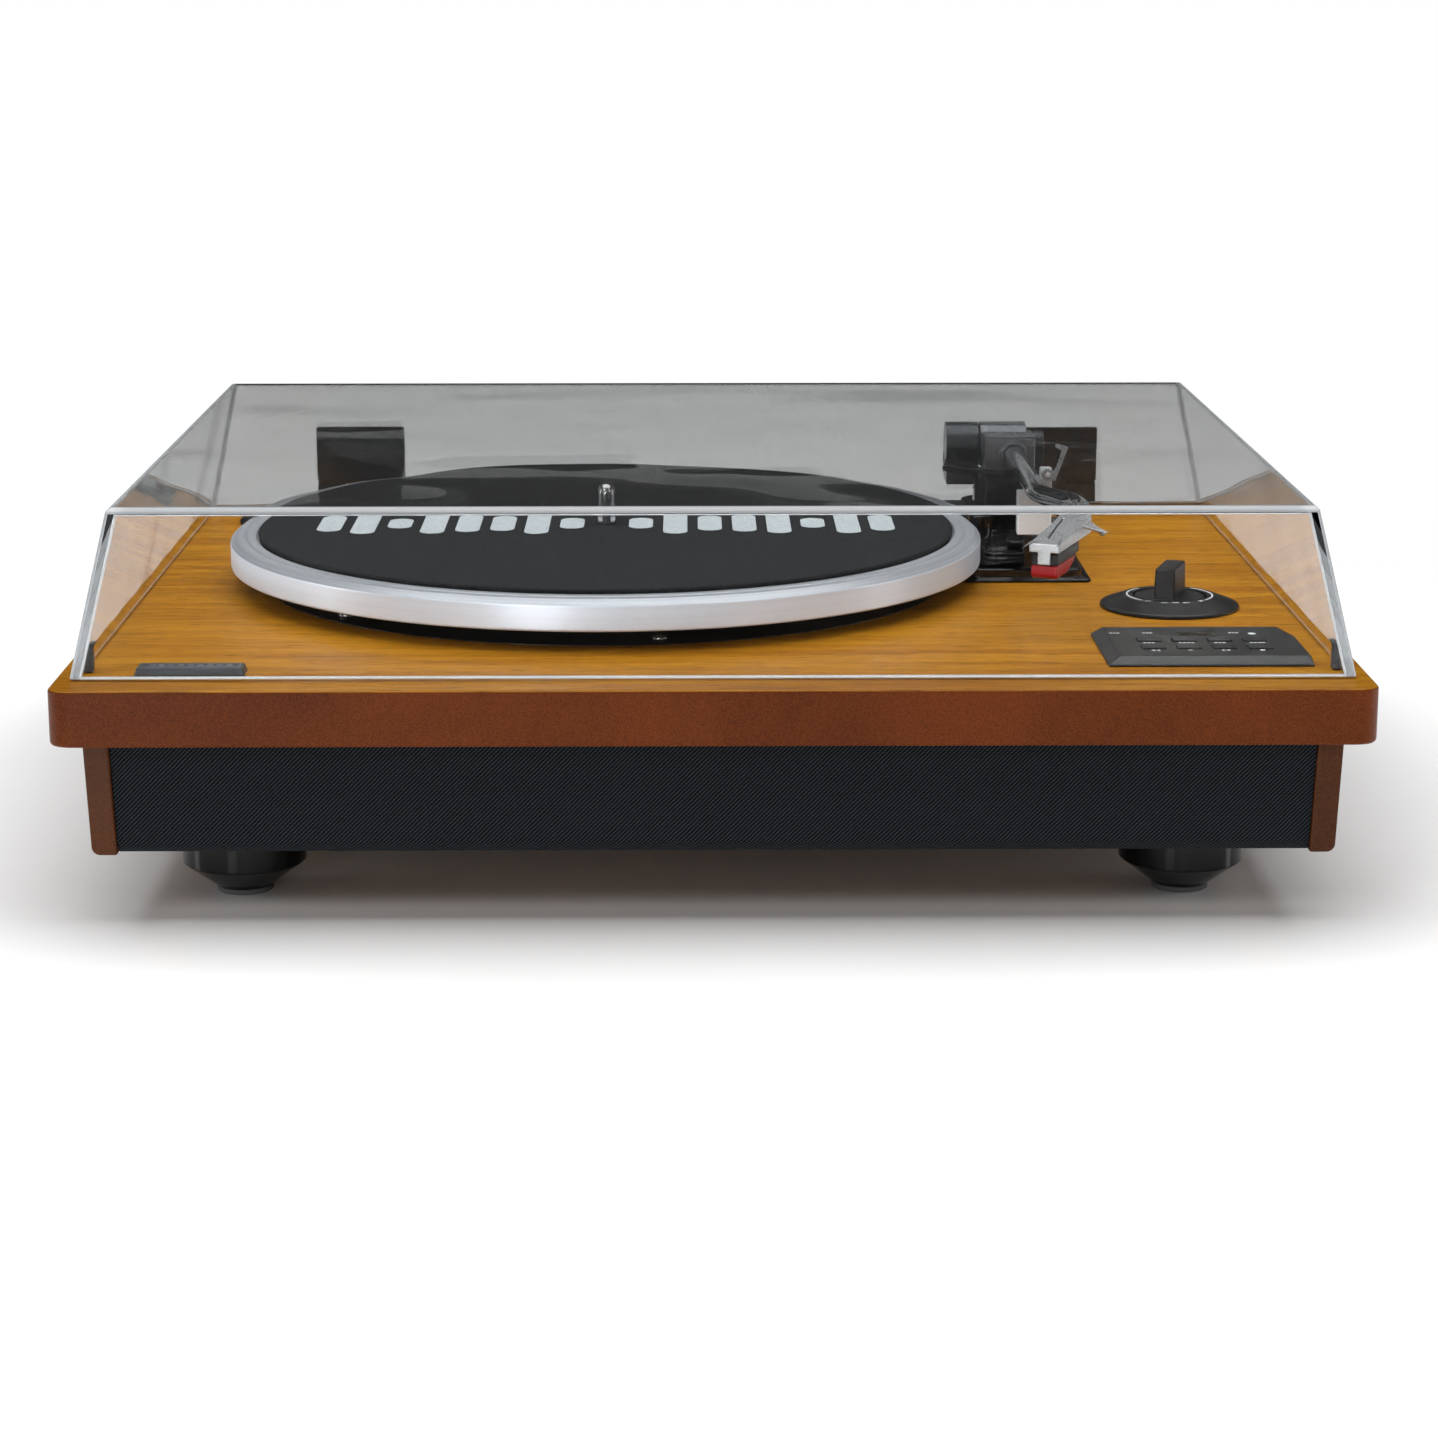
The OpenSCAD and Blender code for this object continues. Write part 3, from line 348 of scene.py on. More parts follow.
def board_material():
    material, tree, shader = new_material("honey_veneer", Specular_IOR_Level=0.1)
    vector = put(tree, "TexCoord").outputs["Object"]
    top = place_group(tree, wood_figure, Vector=vector, Light=linear(160, 109, 22),
                      Middle=linear(134, 84, 13), Dark=linear(68, 34, 5), Streaks=1.0)
    rim = place_group(tree, stained_edge, Vector=vector, Light=linear(112, 54, 18),
                      Dark=linear(70, 30, 9), Fineness=1700.0)
    facing = put(tree, "SeparateXYZ", Vector=put(tree, "NewGeometry").outputs["Normal"]).outputs["Z"]
    up = fade(tree, facing, 0.55, 0.8)
    join(tree, mixed(tree, up, rim["Color"], top["Color"]), shader.inputs["Base Color"])
    join(tree, top["Roughness"], shader.inputs["Roughness"])
    height = calc(tree, "ADD", calc(tree, "MULTIPLY", up, top["Height"]),
                  calc(tree, "MULTIPLY", rim["Height"], 0.3))
    add_bump(tree, shader, height, 0.00004, 0.6)
    return material


board_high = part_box("top_slab")[1]
board_rim = 0.012


def near_board_edge(place):
    """Whether a place is on the outside of the board and not at one of its cut-outs."""
    return abs(place.x) > board_high.x - board_rim or abs(place.y) > board_high.y - board_rim


finish_node("top_board", "top_slab", 0.0012, board_material(), 3, only=near_board_edge)

# ---- side boards ----
# Two red-brown stained boards that lean in a little, glued under the top board's ends. Their
# lower outer edge is rounded over.


def cheek_material():
    material, tree, shader = new_material("red_brown_stain", Specular_IOR_Level=0.15)
    vector = put(tree, "TexCoord").outputs["Object"]
    along_y = put(tree, "Mapping", Vector=vector, Rotation=(0, 0, math.pi / 2)).outputs[0]
    side = place_group(tree, wood_figure, Vector=along_y, Light=linear(90, 48, 19),
                       Middle=linear(75, 38, 14), Dark=linear(42, 19, 7), Streaks=0.7)
    end = place_group(tree, stained_edge, Vector=vector, Light=linear(86, 46, 18),
                      Dark=linear(60, 30, 11), Fineness=1300.0)
    across = put(tree, "SeparateXYZ", Vector=put(tree, "NewGeometry").outputs["Normal"]).outputs["X"]
    sideways = fade(tree, calc(tree, "ABSOLUTE", across), 0.5, 0.8)
    join(tree, mixed(tree, sideways, end["Color"], side["Color"]), shader.inputs["Base Color"])
    join(tree, side["Roughness"], shader.inputs["Roughness"])
    add_bump(tree, shader, calc(tree, "ADD", side["Height"], end["Height"]), 0.00003, 0.6)
    return material


cheek_wood = cheek_material()
for side in ("left", "right"):
    finish_node(side + "_side_board", side + "_cheek", 0.0007, cheek_wood)

# ---- baffle, back and bottom boards ----
# Plain fibre boards. The baffle and the bottom stay raw brown, and the back is sprayed black
# and held by six small screws.


def fibre_board(name, light, dark, rough):
    material, tree, shader = new_material(name, Specular_IOR_Level=0.3, Roughness=rough)
    vector = put(tree, "TexCoord").outputs["Object"]
    made = place_group(tree, stained_edge, Vector=vector, Light=light, Dark=dark, Fineness=900.0)
    join(tree, made["Color"], shader.inputs["Base Color"])
    add_bump(tree, shader, made["Height"], 0.00005)
    return material


raw_board = fibre_board("raw_fibre_board", linear(150, 116, 84), linear(112, 82, 58), 0.75)
black_board = fibre_board("black_sprayed_board", linear(34, 33, 33), linear(20, 20, 20), 0.6)
finish_node("speaker_baffle", "front_baffle", 0.0004, raw_board)
finish_node("bottom_board", "bottom_panel", 0.0004, raw_board)
finish_node("back_board", "back_panel", 0.0005, black_board)

# ---- grille cloth ----
# One piece of coarse black acoustic cloth in a twill weave, stretched over the baffle, round its
# lower edge and stapled underneath. The twill's ribs rise to the right.


def build_twill():
    """Slanting ribs crossed by single threads; the low parts of the weave are painted near black as shade
    between the threads.
    """
    group, given, out = effect_group(
        "twill",
        [("Vector", "vector", None), ("Thread", "color", (0.02, 0.02, 0.02, 1)),
         ("Gap", "color", (0.0, 0.0, 0.0, 1)), ("Pitch", "number", 0.0013)],
        [("Color", "color"), ("Height", "number")])
    turns = calc(group, "DIVIDE", 2 * math.pi, given["Pitch"])
    drift = put(group, "TexNoise", Vector=given["Vector"], Scale=60.0, Detail=2.0).outputs[0]
    place = put(group, "SeparateXYZ", Vector=given["Vector"])
    up = calc(group, "SUBTRACT", place.outputs["Z"], place.outputs["Y"])
    slant = calc(group, "MULTIPLY", calc(group, "SUBTRACT", place.outputs["X"], up), turns)
    wander = calc(group, "ADD", slant, calc(group, "MULTIPLY", drift, 2.4))
    rib = calc(group, "ADD", calc(group, "MULTIPLY", calc(group, "SINE", wander), 0.5), 0.5)
    across = calc(group, "SINE", calc(group, "MULTIPLY", calc(group, "MULTIPLY", up, turns), 2.0))
    thread = calc(group, "ADD", calc(group, "MULTIPLY", across, 0.25), 0.75)
    height = calc(group, "MULTIPLY", rib, thread)
    join(group, height, out["Height"])
    # painted shade: the Gap colour goes where the weave is low, the Thread colour where it is raised
    join(group, mixed(group, fade(group, height, 0.15, 0.85), given["Gap"], given["Thread"]), out["Color"])
    return group


twill = build_twill()


def cloth_material():
    material, tree, shader = new_material("acoustic_cloth", Roughness=0.8, Specular_IOR_Level=0.15)
    vector = put(tree, "TexCoord").outputs["Object"]
    # Gap is the painted shade in the low parts of the weave
    weave = place_group(tree, twill, Vector=vector, Thread=linear(52, 58, 64),
                        Gap=linear(1, 2, 3), Pitch=0.00155)
    join(tree, weave["Color"], shader.inputs["Base Color"])
    add_bump(tree, shader, weave["Height"], 0.00035)
    return material


def build_cloth():
    """The cloth's path runs down the front, round the baffle's lower edge and back under it."""
    low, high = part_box("grille_cloth")
    top_half = high.x
    lean, thick, bend = 0.0016, 0.0008, 0.0048
    drop_steps, arc_steps, columns = 12, 8, 160
    drop = high.z - low.z - bend
    path = [(low.y, high.z - drop * k / drop_steps, 0.0) for k in range(drop_steps + 1)]
    for k in range(1, arc_steps + 1):
        turn = math.pi / 2 * k / arc_steps
        path.append((low.y + bend * (1 - math.cos(turn)), low.z + bend * (1 - math.sin(turn)), turn))
    path.append((high.y, low.z, math.pi / 2))
    made = bmesh.new()
    sheets = []
    for depth in (0.0, thick):
        rows = []
        for y, z, turn in path:
            half = top_half - lean * (high.z - z) / (high.z - low.z)
            inner_y, inner_z = y + depth * math.cos(turn), z + depth * math.sin(turn)
            rows.append([made.verts.new((half * (2 * i / columns - 1), inner_y, inner_z))
                         for i in range(columns + 1)])
        sheets.append(rows)
    front, rear = sheets
    last_row = len(path) - 1
    for rows in sheets:
        for r in range(last_row):
            for c in range(columns):
                made.faces.new((rows[r][c], rows[r][c + 1], rows[r + 1][c + 1], rows[r + 1][c]))
    for r in range(last_row):
        for c in (0, columns):
            made.faces.new((front[r][c], rear[r][c], rear[r + 1][c], front[r + 1][c]))
    for c in range(columns):
        for r in (0, last_row):
            made.faces.new((front[r][c], rear[r][c], rear[r][c + 1], front[r][c + 1]))
    cloth = add_piece("speaker_cloth", made, cloth_material(),
                      stands_for=["grille_cloth"], crease=60)


build_cloth()

# ---- feet ----
# Four gloss black moulded feet: a straight band over a shallow cone, with a thin grey rubber pad
# underneath. Each is held by a screw from below.


def rounded(outline, radius):
    """A closed outline with its corners rounded, except the ones on the axis."""
    made = []
    count, steps = len(outline), 3
    for k in range(count):
        here = Vector(outline[k])
        before = Vector(outline[k - 1]) - here
        after = Vector(outline[(k + 1) % count]) - here
        if here.x < 1e-6 or before.length < 1e-7 or after.length < 1e-7:
            made.append((here.x, here.y))
            continue
        reach = min(radius, before.length * 0.45, after.length * 0.45)
        start, end = here + before.normalized() * reach, here + after.normalized() * reach
        for j in range(steps + 1):
            t = j / steps
            point = start * (1 - t) ** 2 + here * 2 * t * (1 - t) + end * t * t
            made.append((point.x, point.y))
    return made


def lathe(outline, centre, steps, into=None):
    """A closed outline of (radius, height) turned about the upright line at the centre."""
    made = into or bmesh.new()
    rings = []
    for r, z in outline:
        if r < 1e-6:
            rings.append([made.verts.new((centre[0], centre[1], z))])
            continue
        turns = [2 * math.pi * k / steps for k in range(steps)]
        rings.append([made.verts.new((centre[0] + r * math.cos(a), centre[1] + r * math.sin(a), z))
                      for a in turns])
    for one, other in zip(rings, rings[1:] + rings[:1]):
        for k in range(steps):
            n = k + 1
            corners = [one[k % len(one)], one[n % len(one)], other[n % len(other)], other[k % len(other)]]
            corners = list(dict.fromkeys(corners))
            if len(corners) > 2:
                made.faces.new(corners)
    return made


def build_moulded_skin():
    """Moulded plastic or rubber: a spark-eroded grain, slow changes of gloss and a little dust."""
    group, given, out = effect_group(
        "moulded_skin",
        [("Vector", "vector", None), ("Color", "color", (0.02, 0.02, 0.02, 1)),
         ("Grain", "number", 1800.0), ("Roughness", "number", 0.4), ("Dust", "number", 0.1)],
        [("Color", "color"), ("Roughness", "number"), ("Height", "number")])
    grain = put(group, "TexNoise", Vector=given["Vector"], Scale=given["Grain"], Detail=2.0).outputs[0]
    clouds = put(group, "TexNoise", Vector=given["Vector"], Scale=45.0, Detail=3.0).outputs[0]
    facing = put(group, "SeparateXYZ", Vector=put(group, "NewGeometry").outputs["Normal"]).outputs["Z"]
    settled = calc(group, "MULTIPLY", fade(group, facing, 0.3, 1.0), fade(group, clouds, 0.4, 0.75))
    share = calc(group, "MULTIPLY", settled, given["Dust"])
    join(group, mixed(group, share, given["Color"], linear(150, 148, 144)), out["Color"])
    change = calc(group, "MULTIPLY", calc(group, "SUBTRACT", clouds, 0.5), 0.25)
    join(group, calc(group, "ADD", given["Roughness"], change), out["Roughness"])
    join(group, grain, out["Height"])
    return group


moulded_skin = build_moulded_skin()


def moulding(name, color, rough, grain=1800.0, depth=0.00002, dust=0.05, **constants):
    """A plastic or rubber material."""
    material, tree, shader = new_material(name, **constants)
    vector = put(tree, "TexCoord").outputs["Object"]
    made = place_group(tree, moulded_skin, Vector=vector, Color=color, Grain=grain,
                       Roughness=rough, Dust=dust)
    join(tree, made["Color"], shader.inputs["Base Color"])
    join(tree, made["Roughness"], shader.inputs["Roughness"])
    add_bump(tree, shader, made["Height"], depth)
    return material


foot_gloss = moulding("foot_gloss_black", linear(3, 4, 5), 0.12, depth=0.000001, dust=0.0,
                      Specular_IOR_Level=0.25)
pad_rubber = moulding("grey_rubber", linear(92, 92, 92), 0.8, 900.0, 0.00005)
foot_low, foot_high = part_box("feet")
pad_low, pad_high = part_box("foot_pads")
foot_radius, band_height, band_step, screw_hole = 0.0225, 0.0155, 0.0006, 0.0021
pad_radius, pad_hole = 0.0102, 0.0042
cone_radius, band_low = foot_radius - band_step, foot_high.z - band_height
foot_outline = rounded([
    (screw_hole, foot_low.z), (pad_radius + 0.0003, foot_low.z),
    (pad_radius + 0.0009, foot_low.z + 0.0008), (cone_radius, band_low - 0.0005),
    (cone_radius, band_low), (foot_radius, band_low), (foot_radius, foot_high.z),
    (screw_hole, foot_high.z)], 0.0008)
pad_outline = rounded([(pad_hole, pad_low.z), (pad_radius, pad_low.z),
                       (pad_radius, pad_high.z), (pad_hole, pad_high.z)], 0.0005)
feet, pads = bmesh.new(), bmesh.new()
for x in (foot_low.x + foot_radius, foot_high.x - foot_radius):
    for y in (foot_low.y + foot_radius, foot_high.y - foot_radius):
        lathe(foot_outline, (x, y), 96, feet)
        lathe(pad_outline, (x, y), 64, pads)
add_piece("four_feet", feet, foot_gloss, stands_for=["feet"])
add_piece("four_foot_pads", pads, pad_rubber, stands_for=["foot_pads"])

# ---- screws ----
# Zinc-plated countersunk and pan-head screws, in the feet and round the tray under the platter.


def build_tool_lines():
    """Fine scratches from a tool or a brush: they vary across X and Z of the given vector."""
    group, given, out = effect_group(
        "tool_lines",
        [("Vector", "vector", None), ("Color", "color", (0.6, 0.6, 0.6, 1)),
         ("Fineness", "number", 3000.0), ("Roughness", "number", 0.3)],
        [("Color", "color"), ("Roughness", "number"), ("Height", "number")])
    flat = put(group, "Mapping", Vector=given["Vector"], Scale=(1, 0.02, 1)).outputs[0]
    lines = put(group, "TexNoise", Vector=flat, Scale=given["Fineness"], Detail=3.0).outputs[0]
    stains = put(group, "TexNoise", Vector=given["Vector"], Scale=24.0, Detail=3.0).outputs[0]
    darker = put(group, "HueSaturation", Color=given["Color"], Value=0.86).outputs[0]
    join(group, mixed(group, fade(group, lines, 0.3, 0.8), given["Color"], darker), out["Color"])
    change = calc(group, "ADD", calc(group, "MULTIPLY", calc(group, "SUBTRACT", lines, 0.5), 0.22),
                  calc(group, "MULTIPLY", calc(group, "SUBTRACT", stains, 0.5), 0.12))
    join(group, calc(group, "ADD", given["Roughness"], change), out["Roughness"])
    join(group, lines, out["Height"])
    return group


tool_lines = build_tool_lines()


def metal(name, color, rough, fineness=2500.0, depth=0.000004, metallic=1.0):
    """A metal with fine tool lines that run along Y."""
    material, tree, shader = new_material(name, Metallic=metallic)
    vector = put(tree, "TexCoord").outputs["Object"]
    made = place_group(tree, tool_lines, Vector=vector, Color=color, Fineness=fineness,
                       Roughness=rough)
    join(tree, made["Color"], shader.inputs["Base Color"])
    join(tree, made["Roughness"], shader.inputs["Roughness"])
    add_bump(tree, shader, made["Height"], depth)
    return material


zinc = metal("zinc_plate", linear(196, 198, 200), 0.3)
finish_node("board_screws", "wood_screws", 0.00025, zinc)

# ---- speakers ----
# Two oval full-range drivers behind the cloth: a pressed frame, a black paper cone and a
# ferrite magnet.

black_paint = moulding("black_paint", linear(28, 28, 29), 0.45)
paper = moulding("cone_paper", linear(30, 29, 28), 0.9, 500.0, 0.0001)
finish_node("driver_frames", "speaker_frames", 0.0004, black_paint)
finish_node("driver_cones", "speaker_cones", 0.0002, paper)
finish_node("driver_magnets", "speaker_magnets", 0.0006, zinc)

# ---- tray, bearing and drive ----
# A black moulded tray is screwed into the board under the platter. It carries the brass
# bearing housing; the motor's pulley comes up through it and drives the platter's rim by a belt.

satin_black = moulding("satin_black_plastic", linear(14, 14, 15), 0.4, dust=0.03,
                       Specular_IOR_Level=0.35)
turned_brass = metal("turned_brass", linear(206, 168, 96), 0.28)
belt_rubber = moulding("belt_rubber", linear(24, 24, 24), 0.7, 1500.0)
finish_node("sub_tray", "platter_tray", 0.0003, satin_black)
finish_node("bearing_cup", "bearing_housing", 0.0003, turned_brass)
finish_node("motor_can", "motor", 0.0005, zinc)
finish_node("pulley", "motor_pulley", 0.0002, turned_brass)
finish_node("belt", "drive_belt", 0.0002, belt_rubber)

# ---- platter ----
# Die-cast aluminium, turned all over to a satin finish: a plain outer wall, a small chamfer, a
# flat ring with a fine groove and a shallow recess for the mat. Underneath are the belt rim and
# the hub.


def round_box(node):
    """The low and high corner, the centre and the radius of a round CAD node."""
    low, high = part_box(node)
    return low, high, ((low.x + high.x) / 2, (low.y + high.y) / 2), (high.x - low.x) / 2


def distance_from(tree, vector, centre):
    """A vector whose X is the distance from an upright axis, for lines turned about it."""
    apart = put(tree, "VectorMath", operation="SUBTRACT")
    join(tree, vector, apart.inputs[0])
    apart.inputs[1].default_value = (centre[0], centre[1], 0)
    place = put(tree, "SeparateXYZ", Vector=apart.outputs[0])
    out_x = calc(tree, "MULTIPLY", place.outputs["X"], place.outputs["X"])
    out_y = calc(tree, "MULTIPLY", place.outputs["Y"], place.outputs["Y"])
    radius = calc(tree, "SQRT", calc(tree, "ADD", out_x, out_y))
    return put(tree, "CombineXYZ", X=radius, Y=0.0, Z=place.outputs["Z"]).outputs[0]


def platter_material(centre):
    """The upright wall is painted brighter and bluer and the flat faces on top darker grey: painted light
    and shade by which way each face points.
    """
    material, tree, shader = new_material("turned_aluminium", Metallic=0.45)
    vector = distance_from(tree, put(tree, "TexCoord").outputs["Object"], centre)
    facing = put(tree, "SeparateXYZ", Vector=put(tree, "NewGeometry").outputs["Normal"]).outputs["Z"]
    # painted light and shade: upward faces get the darker grey, the wall the brighter one
    shade = mixed(tree, fade(tree, facing, 0.25, 0.85), linear(214, 222, 234), linear(150, 153, 158))
    made = place_group(tree, tool_lines, Vector=vector, Color=shade, Fineness=1500.0,
                       Roughness=0.34)
    join(tree, made["Color"], shader.inputs["Base Color"])
    join(tree, made["Roughness"], shader.inputs["Roughness"])
    add_bump(tree, shader, made["Height"], 0.000006)
    return material


def build_platter():
    low, high, centre, radius = round_box("platter")
    top, wall_low, hub_low = high.z, high.z - 0.012, low.z
    inside, belt_rim, belt_inside, hub, hole = radius - 0.005, 0.062, 0.059, 0.014, 0.00363
    belt_rim_low, web, recess = top - 0.0185, top - 0.004, top - 0.0015
    groove, groove_low, ring = radius - 0.0061, top - 0.0005, radius - 0.0103
    outline = [
        (hole, hub_low), (hub, hub_low), (hub, web), (belt_inside, web),
        (belt_inside, belt_rim_low), (belt_rim, belt_rim_low), (belt_rim, web),
        (inside, web), (inside, wall_low), (radius - 0.0004, wall_low),
        (radius, wall_low + 0.0006), (radius, top - 0.0024), (radius - 0.0026, top - 0.0002),
        (groove + 0.0007, top), (groove + 0.0003, groove_low), (groove - 0.0003, groove_low),
        (groove - 0.0007, top), (ring, top), (ring, recess), (hole, recess)]
    add_piece("turned_platter", lathe(rounded(outline, 0.00035), centre, 320),
              platter_material(centre), "platter", ["platter"], 40)


build_platter()

# ---- mat ----
# A 3 mm black wool-felt mat with a soft rolled edge, laid loose in the platter's recess. A row
# of pale flocked bars, like a level meter's, is printed across its middle.


def felt(name, color, pale):
    """Pressed wool: curled fibres at two sizes, with a soft sheen."""
    material, tree, shader = new_material(name, Roughness=0.95, Specular_IOR_Level=0.05,
                                          Sheen_Weight=0.03, Sheen_Roughness=0.5)
    vector = put(tree, "TexCoord").outputs["Object"]
    curls = put(tree, "TexNoise", Vector=vector, Scale=1300.0, Detail=4.0, Distortion=1.2).outputs[0]
    tufts = put(tree, "TexNoise", Vector=vector, Scale=320.0, Detail=3.0).outputs[0]
    share = calc(tree, "ADD", calc(tree, "MULTIPLY", fade(tree, curls, 0.3, 0.7), 0.7),
                 calc(tree, "MULTIPLY", tufts, 0.3))
    join(tree, mixed(tree, share, color, pale), shader.inputs["Base Color"])
    add_bump(tree, shader, share, 0.0004)
    return material


def build_mat():
    """Its top is uneven by less than a tenth of a millimetre, as pressed wool is."""
    low, high, centre, radius = round_box("mat")
    top, bottom, hole, roll, unevenness = high.z, low.z, 0.0039, 0.0013, 0.00009
    roll_steps, spread_steps = 8, 44
    edge = [(radius - roll + roll * math.sin(a), top - roll + roll * math.cos(a))
            for a in [math.pi / 2 * k / roll_steps for k in range(roll_steps + 1)]]
    spread = [(hole + (radius - roll - hole) * k / spread_steps, top) for k in range(spread_steps)]
    made = lathe([(hole, bottom)] + spread + edge + [(radius - 0.0004, bottom)], centre, 360)
    random.seed(7)
    for vertex in made.verts:
        if vertex.co.z > bottom + 0.001:
            vertex.co.z -= random.uniform(0, unevenness)
    add_piece("felt_mat", made, felt("black_felt", linear(9, 9, 10), linear(38, 39, 41)),
              "platter", ["mat"], 80)


def add_flat(shape, outline, low, high):
    """A flat shape with the given outline, from one height to another."""
    lower = [shape.verts.new((x, y, low)) for x, y in outline]
    upper = [shape.verts.new((x, y, high)) for x, y in outline]
    shape.faces.new(upper)
    shape.faces.new(lower[::-1])
    for k in range(len(outline)):
        n = (k + 1) % len(outline)
        shape.faces.new((lower[k], lower[n], upper[n], upper[k]))


def round_bar(x, y, reach, half):
    """The outline of a bar with round ends that reaches both ways along Y."""
    steps = 8
    outline = [(x + half * math.cos(a), y + reach - half + half * math.sin(a))
               for a in [math.pi * k / steps for k in range(steps + 1)]]
    outline += [(x + half * math.cos(a), y - reach + half + half * math.sin(a))
                for a in [math.pi * (1 + k / steps) for k in range(steps + 1)]]
    return outline


def build_mat_bars():
    """Eight bars of uneven length on either side of the spindle."""
    centre, top = round_box("mat")[2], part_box("mat")[1].z
    pitch, half, shortest, longer = 0.0138, 0.0048, 0.010, 0.014
    made = bmesh.new()
    for step in (*range(-8, 0), *range(1, 9)):
        reach = shortest + longer * abs(math.sin(1.9 * abs(step) + 1.1))
        outline = round_bar(centre[0] + pitch * step, centre[1], reach, half)
        add_flat(made, outline, top - 0.0003, top + 0.00012)
    flock = felt("pale_flock", linear(142, 148, 152), linear(188, 195, 198))
    add_piece("mat_flock_bars", made, flock, "platter", crease=20)


build_mat()
build_mat_bars()

# ---- spindle ----
# A ground steel pin with a rounded tip. It runs down through the hub into the bearing cup.


def build_spindle():
    low, high, centre, r = round_box("spindle")
    tip, chamfer, steps = 0.004, 0.0004, 10
    nose = [(r * math.cos(a), high.z - tip + tip * math.sin(a))
            for a in [math.pi / 2 * k / steps for k in range(steps)]]
    outline = [(0, low.z), (r - chamfer, low.z), (r, low.z + chamfer)] + nose + [(0, high.z)]
    steel = metal("ground_steel", linear(214, 214, 216), 0.16, 5000.0, 0.000002)
    add_piece("record_pin", lathe(outline, centre, 64), steel, "platter", ["spindle"])


build_spindle()

# ---- switches at the back ----
# A screwed-on black plate with two slide switches: speed on the left and auto-stop on the right.

switch_grey = moulding("switch_cap_grey", linear(150, 151, 152), 0.4)
finish_node("switch_cover", "switch_plate", 0.0006, satin_black, 3)
finish_node("speed_slide_cap", "speed_switch", 0.0003, switch_grey)
finish_node("autostop_slide_cap", "autostop_switch", 0.0003, switch_grey)

# ---- control panel ----
# A thin moulded cover with sloping sides over the control board. Eight buttons stand through
# it, behind a USB socket and a status light; small white signs are printed beside them.

white_ink = moulding("white_ink", linear(214, 214, 214), 0.5, 1200.0, 0.00001, 0.0)
panel_black = moulding("panel_black", linear(34, 34, 34), 0.38, dust=0.03,
                       Specular_IOR_Level=0.4)
finish_node("control_cover", "control_panel", 0.00035, panel_black)
button_names = ["power", "source", "record", "repeat", "back", "play", "next", "stop"]
button_black = moulding("button_black", linear(24, 24, 25), 0.5)
for name in button_names:
    finish_node(name + "_key", name + "_button", 0.0003, button_black)


def add_print(ink, outline, height, thick=0.00006):
    """A thin printed shape that lies on a surface at a height and reaches just below it."""
    add_flat(ink, outline, height - 0.00005, height + thick)


def oblong(x, y, w, d):
    return [(x - w / 2, y - d / 2), (x + w / 2, y - d / 2),
            (x + w / 2, y + d / 2), (x - w / 2, y + d / 2)]


def pointer(x, y, w, d):
    return [(x - w / 2, y - d / 2), (x + w / 2, y), (x - w / 2, y + d / 2)]


def print_panel_signs():
    """One small sign in front of each button, and ticks beside the socket and the light."""
    ink = bmesh.new()
    panel_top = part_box("control_panel")[1].z
    for index, name in enumerate(button_names):
        low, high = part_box(name + "_button")
        x, y = (low.x + high.x) / 2, low.y - 0.0013
        if name == "play":
            add_print(ink, pointer(x, y, 0.0018, 0.0016), panel_top)
        elif name in ("back", "next"):
            way = 1 if name == "next" else -1
            for shift in (-0.0009, 0.0009):
                add_print(ink, pointer(x + shift * way, y, 0.0015 * way, 0.0015)[::way], panel_top)
        elif name == "stop":
            add_print(ink, oblong(x, y, 0.0016, 0.0015), panel_top)
        else:
            for part in range(3 + index % 2):
                add_print(ink, oblong(x - 0.0021 + 0.0015 * part, y, 0.001, 0.0009), panel_top)
    socket_low, socket_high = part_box("usb_socket")
    light_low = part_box("status_led")[0]
    y = (socket_low.y + socket_high.y) / 2 + 0.001
    for x in (socket_low.x - 0.0245, socket_low.x - 0.0125, light_low.x - 0.0065):
        for part in range(3):
            add_print(ink, oblong(x + 0.0013 * part, y, 0.0009, 0.0008), panel_top)
    add_piece("panel_print", ink, white_ink, crease=20)


print_panel_signs()

# ---- sockets, light and boards ----
# A nickel-plated USB shell with its tongue, a clear light pipe over the status light, and green
# glass-fibre boards with their parts. The rear sockets are nickel and black.

circuit = moulding("circuit_board", linear(24, 84, 52), 0.4, 700.0, 0.00003)
nickel = metal("nickel_plate", linear(206, 202, 194), 0.22)
lens = moulding("light_pipe", linear(200, 206, 208), 0.2, Coat_Weight=0.4)
finish_node("usb_shell", "usb_socket", 0.00012, nickel)
finish_node("light_pipe", "status_led", 0.0003, lens)
finish_node("panel_board", "control_board", 0.0002, circuit)
finish_node("amplifier_board", "main_board", 0.0003, circuit)
finish_node("line_and_power_sockets", "rear_sockets", 0.0003, nickel)

# ---- volume dial ----
# A shallow conical surround with a raised rim and printed arcs, and a satin black knob with a
# straight grip, pushed on the potentiometer's shaft.


def build_dial():
    low, high, centre, radius = round_box("volume_bezel")
    deck, top = low.z, high.z
    bore, well, well_floor, rim = 0.0046, 0.0143, deck + 0.0026, 0.018
    outline = [
        (bore, deck), (radius, deck), (radius, deck + 0.0012), (radius - 0.0005, deck + 0.0017),
        (rim + 0.0008, deck + 0.0044), (rim, top), (well, top), (well, well_floor),
        (bore, well_floor)]
    add_piece("dial_surround", lathe(rounded(outline, 0.0004), centre, 160), satin_black,
              stands_for=["volume_bezel"])


